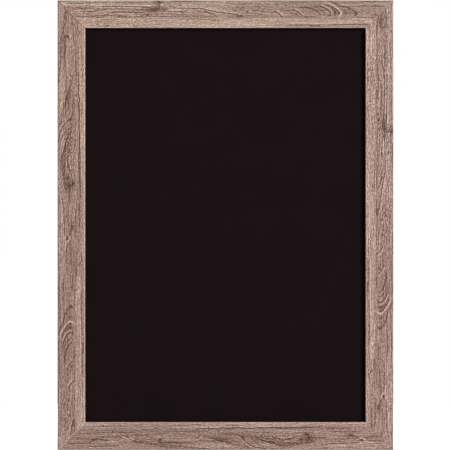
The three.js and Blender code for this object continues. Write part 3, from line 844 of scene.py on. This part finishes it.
# %% Growth lines, pores and curls
# A growth line is the crest of a wave across the grain, that sways and comes and goes.
GROWTH_PITCH, GROWTH_SWAY = 5.0 * MM, 5.5
phase = foil.maths("MULTIPLY", swayed, 1 / GROWTH_PITCH)
phase = foil.maths("MULTIPLY_ADD", layer("growth_sway", plank, detail=2), GROWTH_SWAY, phase)
crest = foil.spread(foil.maths("SINE", foil.maths("MULTIPLY", phase, 2 * math.pi)), 0.35, 1.0)
comes_and_goes = foil.spread(layer("growth_gaps", grain), 0.42, 0.66)
grey = darker(grey, foil.maths("MULTIPLY", crest, comes_and_goes), GREYS["growth"])
grey = darker(grey, foil.spread(layer("pores", grain), PORE_LOW, PORE_HIGH), GREYS["pores"])
curls = foil.maths("SUBTRACT", layer("curls", foil.swung(plank, CURL_SWING), detail=1), 0.5)
curls = foil.maths("MULTIPLY", curls, GREYS["curls"])
grey = foil.maths("MULTIPLY_ADD", curls, foil.painted("curl"), grey)
print("with the pores:", len(foil.tree.nodes))

# %% [markdown]
# ## From grey to the print's browns
# The grain's contrast is stronger in some places than in others, so it is multiplied by a painted
# number before the tone of the zone is added. The drawn lines come next, broken up like the grain,
# and then pores and lines as fine as a hair, which only a near view shows. A ramp turns grey into
# browns, and a faint tint that drifts along each length multiplies them; it also paints light and
# shade, brighter or darker along each length.

# %% Figure and colours
MIDDLE_GREY = 148.5
RAMP_LOW, RAMP_HIGH = 52.0, 220.0
middle = foil.maths("ADD", foil.painted("zone"), MIDDLE_GREY)
grey = foil.maths("MULTIPLY_ADD", grey, foil.painted("lively"), middle)
broken = foil.spread(layer("breaks", plank, detail=1), 0.32, 0.68, 0.6, 1.4)
broken = foil.maths("MULTIPLY", broken, foil.spread(fibre, 0.3, 0.7, 0.6, 1.5))
grey = darker(grey, foil.painted("line"), broken)
grey = both_ways(grey, layer("hair_lines", grain, detail=1), GREYS["hair_lines"])
hair_pores = foil.spread(layer("hair_pores", grain), PORE_LOW, PORE_HIGH)
grey = darker(grey, hair_pores, GREYS["hair_pores"])
print_scale = foil.spread(grey, RAMP_LOW, RAMP_HIGH)
BROWNS = [(52, "4a2f28"), (72, "5f4239"), (94, "73574f"), (111, "84685f"), (136, "9e8177"),
          (161, "b79a8f"), (186, "d0b3a8"), (205, "e3c8bd"), (220, "efd8ce")]
stops = [((tone - RAMP_LOW) / (RAMP_HIGH - RAMP_LOW), code) for tone, code in BROWNS]
foil.colour(foil.tinted(foil.ramp(print_scale, stops), foil.painted("batch", "Color")))
foil.roughness(foil.spread(print_scale, 0, 1, 0.58, 0.44))
foil.relief(foil.maths("SUBTRACT", print_scale, hair_pores), 0.08 * MM, 0.35)
print("foil nodes:", len(foil.tree.nodes))

# %% [markdown]
# ## The core's finish
# Where the foil stops, on the back and in the rabbet, the fibreboard shows: pressed wood fibres,
# sand-coloured, with darker and paler flecks a millimetre long. Two sizes of noise do that.

# %% Fibreboard core
core = Recipe("fibreboard_core", roughness=0.85, specular=0.2)
spot = core.place()
flecks = core.noise(spot, (1.1 * MM,) * 3, detail=2, rough=0.6)
clouds = core.noise(spot, (30 * MM,) * 3, detail=2)
mixed = core.maths("MULTIPLY_ADD", clouds, 0.35, core.maths("MULTIPLY", flecks, 0.65))
core.colour(core.ramp(mixed, [(0.3, "8c6c4a"), (0.5, "ab8a63"), (0.72, "c6a67e")]))
core.relief(flecks, 0.15 * MM, 0.6)
print("core nodes:", len(core.tree.nodes))

# %% [markdown]
# ## The four lengths of moulding
# Each length is one closed surface: the L-shaped section is a ring of points, and it is carried
# from mitre to mitre. A point that lies deeper in from the outer edge has a shorter way to go,
# so the ends come out at 45 degrees by themselves. The grid is about a millimetre fine, because
# it also carries the drawing. A tint with painted light and shade drifts a little along each
# length, the saw leaves a thin pale or dark edge at each mitre, and the rim outside gets painted
# shade on the top and right and painted light on the left.

# %% Section of the moulding
def span(start, end, count):
    """Points from start towards end, the last one left out."""
    t = np.arange(count)[:, None] / count
    return np.array(start) * (1 - t) + np.array(end) * t


def arc(centre, radius, first, last, count):
    """Points of a circle from one angle in degrees towards another, the last one left out."""
    a = np.radians(first + (last - first) * np.arange(count) / count)
    return np.array(centre) + radius * np.stack([np.cos(a), np.sin(a)], -1)


RABBET = FACE_WIDTH - LIP_WIDTH
FOIL_LAP = 6.0
FOIL_END = RABBET + 2.0
sight = FACE_WIDTH - SIGHT_ROUNDING
core_back = span((RABBET, BACK_Y), (FOIL_LAP, BACK_Y), 14)
foil_ring = np.vstack([
    span((FOIL_LAP, BACK_Y), (BACK_ROUNDING, BACK_Y), 4),
    arc((BACK_ROUNDING, BACK_Y - BACK_ROUNDING), BACK_ROUNDING, 90, 180, 3),
    span((0, BACK_Y - BACK_ROUNDING), (0, FRONT_Y + OUTER_ROUNDING), 12),
    arc((OUTER_ROUNDING, FRONT_Y + OUTER_ROUNDING), OUTER_ROUNDING, 180, 270, 7),
    span((OUTER_ROUNDING, FRONT_Y), (sight, FRONT_Y), 84),
    arc((sight, FRONT_Y + SIGHT_ROUNDING), SIGHT_ROUNDING, 270, 360, 6),
    span((FACE_WIDTH, FRONT_Y + SIGHT_ROUNDING), (FACE_WIDTH, LIP_BACK_Y), 6),
    span((FACE_WIDTH, LIP_BACK_Y), (FOIL_END, LIP_BACK_Y), 2),
])
core_rabbet = np.vstack([
    span((FOIL_END, LIP_BACK_Y), (RABBET, LIP_BACK_Y), 1),
    span((RABBET, LIP_BACK_Y), (RABBET, BACK_Y), 6),
])
section = np.vstack([core_back, foil_ring, core_rabbet])
is_core = np.ones(len(section), int)
is_core[len(core_back):len(core_back) + len(foil_ring)] = 0

# How far each point lies from the outer edge once the foil is unrolled and laid flat.
unrolled = np.concatenate([[0], np.cumsum(np.hypot(*np.diff(section, axis=0).T))])
face_starts = np.argmin(np.hypot(*(section - (OUTER_ROUNDING, FRONT_Y)).T))
unrolled += OUTER_ROUNDING - unrolled[face_starts]
print(len(section), "points round the moulding, foil from", unrolled[len(core_back)].round(1), "mm")

# %% Carry the section along each side
# The tones are steps of grey, darker below 0: at the sawn ends of each length, the one it starts
# with first, and along its outer rim, where they are painted shade on the top and right and
# painted light on the left. The print's strength is a share of the full contrast, and the three
# tints, which also paint light and shade, lie at the length's start, middle and end.
STATION = 1.4
SAWN_FADE, SAWN_EDGE = 1.5, 0.8
RIM_AT, RIM_HALF = 0.1, 1.1
FIGURE_END = 28
SAWN_TONE = {"top": (16, 18), "right": (-16, -10), "bottom": (-14, 75), "left": (-12, -85)}
# Painted shade on the top and right rims, against the lamp's light there, and painted light on the left
# rim.
RIM_PAINTED_LIGHT = {"top": -18, "right": -18, "bottom": 0, "left": 10}
PRINT_STRENGTH = {"top": 0.82, "right": 1.1, "bottom": 0.94, "left": 1.02}
# A faint tint with painted light and shade: each length is made brighter or darker along its run.
TINT_AND_LIGHT = {
    "top": [(1.09, 1.14, 1.055), (1.02, 1.07, 1.01), (0.95, 0.975, 0.945)],
    "right": [(0.985, 0.97, 0.955), (1.005, 0.98, 0.975), (1.02, 0.985, 0.985)],
    "bottom": [(1.0, 0.97, 0.96), (0.915, 0.9, 0.885), (0.895, 0.88, 0.865)],
    "left": [(0.975, 0.955, 0.94), (0.93, 0.895, 0.87), (1.01, 1.01, 0.94)],
}


def store(mesh, name, kind, values):
    """Keeps one value per point on the mesh for the shader to read."""
    kept = mesh.attributes.new(name, kind, "POINT")
    part = "color" if kind == "FLOAT_COLOR" else "value"
    kept.data.foreach_set(part, np.ascontiguousarray(values, np.float32).ravel())


def tint_and_light_along(name, share):
    """The tint with its painted light and shade between start, middle and end, for each share of the
    length.
    """
    tints = np.array(TINT_AND_LIGHT[name])
    channels = [np.interp(share, (0, 0.5, 1), channel) for channel in tints.T]
    return np.stack(channels + [np.ones(share.shape)], -1)


def moulding(name, side):
    """Carries the section from mitre to mitre: x = f (half - t - gap), z = reach - t."""
    rows = int(2 * side["half"] / STATION)
    f = np.linspace(-1, 1, rows)[:, None]
    t, y = section.T[:, None, :]
    x = f * (side["half"] - t - MITRE_GAP)
    grid = np.stack(np.broadcast_arrays(x, y, side["reach"] - t), -1)
    finish = np.broadcast_to(is_core, (rows - 1, len(section)))
    piece = surface("moulding_" + name, turned(grid, side["turn"]), [foil.material, core.material],
                    finish_of=finish)
    along = START[name] + (x + side["half"]) / STEP
    across = np.broadcast_to(unrolled / STEP, along.shape)
    dark, curl, lively = painted_figure(along, np.clip(across, 0, FIGURE_END))
    to_saw = (1 - np.abs(f)) * (side["half"] - t) / math.sqrt(2)
    sawn_tone = np.where(f < 0, *SAWN_TONE[name]) * bell(to_saw, 0, SAWN_EDGE)
    # Painted shade along the top and right rims, painted light along the left one.
    rim_painted_light = RIM_PAINTED_LIGHT[name] * bell(across, RIM_AT, RIM_HALF)
    fields = {"line": dark * ease(to_saw / SAWN_FADE) - sawn_tone, "curl": curl,
              "zone": zone_tone(along, across) + rim_painted_light, "lively": lively * PRINT_STRENGTH[name]}
    for field, values in fields.items():
        store(piece.data, field, "FLOAT", values)
    # The tint with painted light and shade, drifting from the length's start to its end.
    share = np.broadcast_to((1 + f) / 2, along.shape)
    store(piece.data, "batch", "FLOAT_COLOR", tint_and_light_along(name, share))
    corner = np.zeros(len(piece.data.loops), np.int32)
    piece.data.loops.foreach_get("vertex_index", corner)
    plank_place = np.stack([along.ravel() * STEP, across.ravel() * STEP], -1) * MM
    uv_map = piece.data.uv_layers.new(name="plank")
    uv_map.uv.foreach_set("vector", plank_place[corner].astype(np.float32).ravel())
    return stand_for(piece, side["node"])


for name, side in SIDES.items():
    made = moulding(name, side)
    print(made.name, len(made.data.polygons), "faces")

# %% [markdown]
# ## The writing board
# The board is hardboard with a sprayed chalkboard paint: almost black, very matt, with the faint
# tooth that takes the chalk. Its solid is right as it is, so it only gets the finish.

# %% Chalkboard paint
slate = Recipe("black_chalkboard_paint", roughness=0.9, specular=0.04)
spot = slate.place()
tooth = slate.noise(spot, (0.6 * MM,) * 3, detail=2)
spray = slate.noise(spot, (50 * MM,) * 3, detail=3)
slate_tone = slate.maths("MULTIPLY_ADD", spray, 0.6, slate.maths("MULTIPLY", tooth, 0.4))
slate.colour(slate.ramp(slate_tone, [(0.25, "180e11"), (0.75, "1b1114")]))
slate.roughness(slate.spread(tooth, 0.3, 0.7, 0.86, 0.94))
slate.relief(tooth, 0.06 * MM, 0.5)


def dress(node, recipe):
    """Gives a carried-over solid its finish."""
    mesh = nodes[node].data
    mesh.materials.clear()
    mesh.materials.append(recipe.material)
    return nodes[node]


print("dressed", dress("chalkboard_panel", slate).name)

# %% [markdown]
# ## What closes the back
# Behind the writing board a sheet of corrugated card takes up the rest of the rabbet, and a
# hardboard sheet closes it. Card is two flat liners with a wavy sheet between them, so it is
# made of just that. The hardboard's solid is right, so it gets a finish: pressed fibres on a
# wire screen, whose print shows on the outer face.

# %% Corrugated card
kraft = Recipe("kraft_card", roughness=0.9, specular=0.15)
spot = kraft.place()
fibres = kraft.noise(spot, (0.7 * MM, 0.7 * MM, 4 * MM), detail=2)
kraft.colour(kraft.ramp(fibres, [(0.3, "9b774a"), (0.7, "c29c6c")]))
kraft.relief(fibres, 0.06 * MM, 0.5)

FLUTE_PITCH, POINTS_PER_FLUTE, LINER_POINTS = 7.5, 12, 26
LINER, LINER_CLEARANCE = 0.35, 0.02
low_corner, high_corner = (np.array(corner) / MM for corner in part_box("corrugated_filler"))
card_width = high_corner[0] - low_corner[0]


def card_layer(x, front, back):
    """A sheet from foot to top: a ring that runs out along its front and home along its back."""
    ring_x = np.concatenate([x, x[::-1]])
    ring_y = np.concatenate([front, back[::-1]])
    heights = np.array([low_corner[2], high_corner[2]])[:, None]
    return np.stack(np.broadcast_arrays(ring_x, ring_y, heights), -1)


flat_x = np.linspace(low_corner[0], high_corner[0], LINER_POINTS)
flute_x = np.linspace(low_corner[0], high_corner[0], int(card_width / FLUTE_PITCH * POINTS_PER_FLUTE))
wave_mid = (low_corner[1] + high_corner[1]) / 2
wave_reach = (high_corner[1] - low_corner[1]) / 2 - 1.5 * LINER - LINER_CLEARANCE
wave = wave_mid + wave_reach * np.sin(2 * math.pi * flute_x / FLUTE_PITCH)
layers = [
    card_layer(flat_x, flat_x * 0 + low_corner[1], flat_x * 0 + low_corner[1] + LINER),
    card_layer(flute_x, wave - LINER / 2, wave + LINER / 2),
    card_layer(flat_x, flat_x * 0 + high_corner[1] - LINER, flat_x * 0 + high_corner[1]),
]
sheets = [surface("card_layer_%d" % k, grid, [kraft.material], sharp=30)
          for k, grid in enumerate(layers)]
with bpy.context.temp_override(active_object=sheets[0], selected_editable_objects=sheets):
    bpy.ops.object.join()
sheets[0].name = "corrugated_card"
stand_for(sheets[0], "corrugated_filler")
print("card with", int(card_width / FLUTE_PITCH), "flutes")

# %% Hardboard
pressed = Recipe("screen_backed_hardboard", roughness=0.8, specular=0.25)
spot = pressed.place()
SCREEN_PITCH = 1.6 * MM
parts = pressed.filled("ShaderNodeSeparateXYZ", spot).outputs
wires = [pressed.maths("SINE", pressed.maths("MULTIPLY", parts[k], 2 * math.pi / SCREEN_PITCH))
         for k in (0, 2)]
screen = pressed.maths("MULTIPLY_ADD", wires[1], 0.25, 0.5)
screen = pressed.maths("MULTIPLY_ADD", wires[0], 0.25, screen)
shreds = pressed.noise(spot, (1.6 * MM,) * 3, detail=3, rough=0.6)
stain = pressed.noise(spot, (60 * MM,) * 3, detail=3)
brown = pressed.maths("MULTIPLY_ADD", shreds, 0.7, pressed.maths("MULTIPLY", stain, 0.2))
brown = pressed.maths("MULTIPLY_ADD", screen, 0.1, brown)
pressed.colour(pressed.ramp(brown, [(0.32, "4e3423"), (0.5, "6d4b34"), (0.68, "8a6346")]))
pressed.relief(screen, 0.25 * MM, 0.7)
print("dressed", dress("backing_board", pressed).name)

# %% [markdown]
# ## Metal and rubber finishes
# Zinc plate is a bright, slightly bluish grey that clouds over in soft patches; nickel plate is
# warmer and smoother. Both are metals, so their colour is in the reflection. Rubber is a dark,
# dull plastic with a fine moulded grain.

# %% Metals and rubber
def plated(name, dull, bright, rough_low, rough_high, cloud=6.0):
    """A plated metal whose clouds change both its colour and how sharply it mirrors."""
    metal = Recipe(name, metallic=1.0)
    at = metal.place()
    patches = metal.noise(at, (cloud * MM,) * 3, detail=3, rough=0.6)
    scratches = metal.noise(at, (0.6 * MM, 0.6 * MM, 6 * MM), detail=1)
    metal.colour(metal.ramp(patches, [(0.3, dull), (0.7, bright)]))
    dullness = metal.maths("ADD", patches, scratches)
    metal.roughness(metal.spread(dullness, 0.6, 1.4, rough_low, rough_high))
    metal.relief(scratches, 0.03 * MM, 0.4)
    return metal


zinc = plated("bright_zinc_plate", "a9adb3", "c9ccd0", 0.26, 0.42)
nickel = plated("nickel_plate", "bdb8ae", "d6d1c7", 0.14, 0.26)
steel = plated("plain_spring_steel", "6f7175", "93959a", 0.34, 0.5, cloud=3.0)
rubber = Recipe("moulded_rubber", specular=0.3)
spot = rubber.place()
moulded = rubber.noise(spot, (0.5 * MM,) * 3, detail=2)
dust = rubber.noise(spot, (4 * MM,) * 3, detail=2)
rubber.colour(rubber.ramp(dust, [(0.3, "1c1c1f"), (0.75, "2f2f33")]))
rubber.roughness(rubber.spread(dust, 0.3, 0.7, 0.62, 0.82))
rubber.relief(moulded, 0.05 * MM, 0.6)
print("metals:", zinc.material.name, nickel.material.name, steel.material.name)

# %% [markdown]
# ## Pan-head screws
# Twelve of them: eight hold the turn buttons and four the hanger straps. A screw is round, so it
# is a profile carried round an axis, but two things break the roundness: the cross recess and
# the thread. Cutting them out of a turned solid would leave ragged meshes, so both are functions
# of the angle instead. The recess's outline is the distance from the axis to the side of a
# cross, and the thread is a ridge that climbs one pitch a turn.

# %% Screw
HEAD_RADIUS, HEAD_HEIGHT = 3.5, 2.2
RECESS_REACH, RECESS_HALF, RECESS_DEPTH = 1.9, 0.55, 1.4
RECESS_TAPER = 0.62
SHANK_RADIUS, SCREW_LENGTH, SCREW_POINT = 1.75, 12.0, 3.0
THREAD_PITCH, THREAD_DEPTH, THREAD_RINGS = 1.3, 0.42, 58


def cross_angles():
    """Angles round a cross that include its corners: eight equal wedges, each split at the tip."""
    corner = math.degrees(math.atan(RECESS_HALF / RECESS_REACH))
    wedge = np.concatenate([np.linspace(0, corner, 4, endpoint=False), np.linspace(corner, 45, 5)])
    quarter = np.concatenate([wedge, 90 - wedge[-2:0:-1]])
    return np.radians(np.concatenate([quarter + 90 * k for k in range(4)]))


def cross_outline(angles, reach, half):
    """How far the side of a cross is from its middle: reach / cos a at a tip, half / sin a beside it."""
    a = np.abs((angles + math.pi / 4) % (math.pi / 2) - math.pi / 4)
    return np.where(np.tan(a) < half / reach, reach / np.cos(a), half / np.maximum(np.sin(a), 1e-6))


def round_axis(radii, heights, a):
    """Points at these radii and heights, carried round the Y axis: (r cos a, h, r sin a)."""
    return np.stack(np.broadcast_arrays(radii * np.cos(a), heights, radii * np.sin(a)), -1)


def screw_grid():
    """Rings from the floor of the recess, up its wall, over the head and down the thread to the tip."""
    a = cross_angles()
    rim = cross_outline(a, RECESS_REACH, RECESS_HALF)
    floor_line = cross_outline(a, RECESS_TAPER * RECESS_REACH, RECESS_TAPER * RECESS_HALF)
    depth = HEAD_HEIGHT - RECESS_DEPTH
    rings = [(0.5 * floor_line, depth), (floor_line, depth), (floor_line + 0.04, depth + 0.06),
             (rim - 0.05, HEAD_HEIGHT - 0.12), (rim, HEAD_HEIGHT - 0.03), (rim + 0.05, HEAD_HEIGHT)]
    round_off = HEAD_HEIGHT / 2
    dome = arc((HEAD_RADIUS - round_off, round_off), round_off, 90, 0, 6)
    under = [(HEAD_RADIUS, round_off), (HEAD_RADIUS, 0.25), (HEAD_RADIUS - 0.08, 0.06),
             (HEAD_RADIUS - 0.25, 0.0), (SHANK_RADIUS + 0.3, 0.0), (SHANK_RADIUS, -0.12),
             (SHANK_RADIUS, -0.7)]
    rings += [(radius + 0 * a, height) for radius, height in (*dome, *under)]
    radii = np.array([ring[0] for ring in rings])
    heights = np.array([ring[1] for ring in rings])[:, None] + 0 * a
    down = np.linspace(-0.85, 0.05 - SCREW_LENGTH, THREAD_RINGS)[:, None] + 0 * a
    turn = (down / THREAD_PITCH + a / (2 * math.pi)) % 1
    ridge = THREAD_DEPTH * np.clip(1 - np.abs(turn - 0.5) / 0.2, 0, 1)
    taper = np.clip((down + SCREW_LENGTH) / SCREW_POINT, 0, 1)
    shank = taper * (SHANK_RADIUS - THREAD_DEPTH + ridge) + 0.03
    return round_axis(np.vstack([radii, shank]), np.vstack([heights, down]), a)


SCREW = screw_grid()
print("a screw has", SCREW.shape[0] * SCREW.shape[1], "points")

# %% [markdown]
# ## Turn buttons
# A turn button is stamped from 1.2 mm sheet: a round hub with a hole for the screw and a
# narrower nose that reaches over the backing. Stamping leaves soft edges. The plate is a ring of
# small cross-sections, from the hole out to the pear-shaped outline and back, all the way round.

# %% Turn button
HUB_RADIUS, NOSE_RADIUS, NOSE_REACH, HOLE_RADIUS = 6.0, 3.5, 22.0, 2.1
BUTTON_THICKNESS = 1.2
EDGE = 0.22


def pear_outline():
    """The hub's arc, the nose's arc and the two lines that touch both, as points in X and Z."""
    touch = math.degrees(math.asin((HUB_RADIUS - NOSE_RADIUS) / NOSE_REACH))
    hub = arc((0, 0), HUB_RADIUS, -touch, 180 + touch, 44)
    nose = arc((0, -NOSE_REACH), NOSE_RADIUS, 180 + touch, 360 - touch, 26)
    left = span(hub[-1], nose[0], 12)[1:]
    right = span(nose[-1], hub[0], 12)[1:]
    return np.vstack([hub, left, nose, right])


def plate_grid(outline, hole, thickness, edge):
    """Rows follow the outline; columns go from the hole to the rim below, and back above."""
    far = np.hypot(*outline.T)[:, None]
    flats = [(1 - share) * (hole + edge) + share * (far - edge) for share in (0.0, 0.35, 0.7, 1.0)]
    soft = [(0, edge), (0.3 * edge, 0.3 * edge)]
    columns = [(flat, 0) for flat in flats]
    columns += [(far - inset, rise) for inset, rise in soft[::-1]]
    columns += [(far - inset, thickness - rise) for inset, rise in soft]
    columns += [(flat, thickness) for flat in flats[::-1]]
    columns += [(hole + inset + 0 * far, thickness - rise) for inset, rise in soft[::-1]]
    columns += [(hole + inset + 0 * far, rise) for inset, rise in soft]
    distance = np.hstack([column[0] for column in columns])
    height = np.broadcast_to([column[1] for column in columns], distance.shape)
    spokes = (outline / far)[:, None, :] * distance[..., None]
    return np.stack([spokes[..., 0], height, spokes[..., 1]], -1)


BUTTON = plate_grid(pear_outline(), HOLE_RADIUS, BUTTON_THICKNESS, EDGE)
BUTTON_INSET = RABBET - 9.0
BUTTON_Y = BACK_Y + FIT
for name, side in SIDES.items():
    for hand, end in zip((-1, 1), side["ends"]):
        tag = "%s_%s" % (name, end)
        spot = (hand * side["button_along"], BUTTON_Y, side["reach"] - BUTTON_INSET)
        seat = (spot[0], BUTTON_Y + BUTTON_THICKNESS + FIT, spot[2])
        new_piece("button_plate_" + tag, turned(BUTTON + spot, side["turn"]), zinc,
                  "turn_button_" + tag, rows_close=True)
        new_piece("button_screw_" + tag, turned(SCREW + seat, side["turn"]), zinc,
                  "turn_button_%s_screw" % tag)
print("a button has", BUTTON.shape[0] * BUTTON.shape[1], "points")

# %% [markdown]
# ## Hangers: folded strap, D-ring and screw
# A strip of steel is folded over a wire ring, and one screw goes through both layers. The strap's
# and the nails' solids have the true folds and holes, so a merged copy of each is softened along
# its edges with a small bevel. The ring is bent from wire: a closed centre line with a straight
# bar, two tight corners and a half circle, and a round section carried along it.

# %% Ring and strap
WIRE_RADIUS, HALF_BAR, RING_CORNER, REST_TILT = 1.1, 6.0, 2.1, 6.5
EYE_HEIGHT, STRAP_HEIGHT, STRAP_SCREW_REACH, HANGER_INSET = 2.2, 1.8, 17.0, 20.0
RING_STEPS, WIRE_SIDES = 112, 20


def ring_line(count):
    """Equal steps along the bar, a corner, the half circle and the other corner, as X and Z."""
    big = HALF_BAR + RING_CORNER
    bar = span((0, -HALF_BAR), (0, HALF_BAR), 60)
    first = arc((-RING_CORNER, HALF_BAR), RING_CORNER, 0, 90, 30)
    half = arc((-RING_CORNER, 0), big, 90, 270, 160)
    second = arc((-RING_CORNER, -HALF_BAR), RING_CORNER, 270, 360, 30)
    line = np.vstack([bar, first, half, second, [[0, -HALF_BAR]]])
    gone = np.concatenate([[0], np.cumsum(np.hypot(*np.diff(line, axis=0).T))])
    steps = np.linspace(0, gone[-1], count, endpoint=False)
    return np.stack([np.interp(steps, gone, line[:, 0]), np.interp(steps, gone, line[:, 1])], -1)


def wire_grid(line, radius, around):
    """A circle at each point of a closed flat line, square to the line's direction there."""
    ahead = np.roll(line, -1, 0) - np.roll(line, 1, 0)
    ahead = ahead / np.hypot(*ahead.T)[:, None]
    out = np.stack([ahead[:, 1], -ahead[:, 0]], -1)
    a = 2 * math.pi * np.arange(around) / around
    flat = line[:, None] + radius * np.cos(a)[None, :, None] * out[:, None]
    height = np.broadcast_to(radius * np.sin(a), flat.shape[:2])
    return np.stack([flat[..., 0], height, flat[..., 1]], -1)


RING = wire_grid(ring_line(RING_STEPS), WIRE_RADIUS, WIRE_SIDES)
RING = turned(RING, REST_TILT, other=1) + (0, EYE_HEIGHT, 0)


def softened(name, node, recipe, edge):
    """A merged copy of a solid whose sharp edges get a narrow bevel."""
    mesh = nodes[node].data.copy()
    build = bmesh.new()
    build.from_mesh(mesh)
    bmesh.ops.remove_doubles(build, verts=build.verts, dist=1e-6)
    bmesh.ops.dissolve_limit(build, angle_limit=0.01, verts=build.verts, edges=build.edges)
    build.to_mesh(mesh)
    build.free()
    mesh.materials.clear()
    mesh.materials.append(recipe.material)
    piece = bpy.data.objects.new(name, mesh)
    scene.collection.objects.link(piece)
    bevel = piece.modifiers.new("soft_edges", "BEVEL")
    bevel.width = edge * MM
    bevel.segments = 2
    bevel.limit_method = "ANGLE"
    bevel.angle_limit = math.radians(40)
    mesh.shade_smooth()
    mesh.set_sharp_from_angle(angle=math.radians(35))
    return stand_for(piece, node)


def hung(points, side):
    """From the hanger's own place on the board to its side of the frame."""
    spun = points * (side["upwards"], 1, side["upwards"])
    moved = spun + (side["hanger_along"], BACK_Y + FIT, side["reach"] - HANGER_INSET)
    return turned(moved, side["turn"])


for name, side in SIDES.items():
    seat = (-STRAP_SCREW_REACH, STRAP_HEIGHT + FIT, 0)
    new_piece("d_ring_" + name, hung(RING, side), nickel, "hanger_ring_" + name,
              rows_close=True)
    new_piece("strap_screw_" + name, hung(SCREW + seat, side), zinc, "hanger_screw_" + name)
    softened("folded_strap_" + name, "hanger_strap_" + name, zinc, 0.1)
print("a ring has", RING.shape[0] * RING.shape[1], "points")

# %% [markdown]
# ## Nails across the mitres, and bumpers
# Two V-shaped nails are pressed across each mitre from behind, flush with the back. Their solids
# have the true fold, so they are softened like the straps. The bumpers are moulded rubber: a
# truncated cone with a thin rim below and a soft edge on top, which is one profile carried round.

# %% V-nails
for height in ("top", "bottom"):
    for across in ("left", "right"):
        for place in ("outer", "inner"):
            tag = "%s_%s_%s" % (height, across, place)
            softened("driven_nail_" + tag, "v_nail_" + tag, steel, 0.06)
print("eight nails softened")

# %% Bumpers
BUMPER_RADIUS, BUMPER_TOP, BUMPER_RIM, BUMPER_ROUNDING = 5.5, 4.0, 0.6, 0.8
BUMPER_HEIGHT = 5.0 - FIT
BUMPER_INSET, BUMPER_FROM_END = 12.0, 30.0


def bumper_grid(around):
    """A profile of radius and height, from the flat foot over the rim and up to the flat top."""
    top = arc((BUMPER_TOP - BUMPER_ROUNDING, BUMPER_HEIGHT - BUMPER_ROUNDING), BUMPER_ROUNDING, 12, 90, 7)
    profile = np.vstack([
        [(2.0, 0), (BUMPER_RADIUS - 0.15, 0), (BUMPER_RADIUS, 0.15), (BUMPER_RADIUS, BUMPER_RIM - 0.12)],
        [(BUMPER_RADIUS - 0.08, BUMPER_RIM), (BUMPER_RADIUS - 0.5, BUMPER_RIM + 0.3)],
        span((BUMPER_RADIUS - 0.62, BUMPER_RIM + 0.6), top[0], 5),
        top,
        [(BUMPER_TOP - BUMPER_ROUNDING, BUMPER_HEIGHT), (1.0, BUMPER_HEIGHT)],
    ])
    return round_axis(profile[:, :1], profile[:, 1:], 2 * math.pi * np.arange(around) / around)


BUMPER = bumper_grid(48)
for name in ("right", "left"):
    side = SIDES[name]
    for hand, end in zip((-1, 1), side["ends"]):
        spot = (hand * (side["half"] - BUMPER_FROM_END), BACK_Y + FIT, side["reach"] - BUMPER_INSET)
        new_piece("wall_bumper_%s_%s" % (name, end), turned(BUMPER + spot, side["turn"]), rubber,
                  "bumper_%s_%s" % (name, end))
print("bumpers have", BUMPER.shape[0] * BUMPER.shape[1], "points")
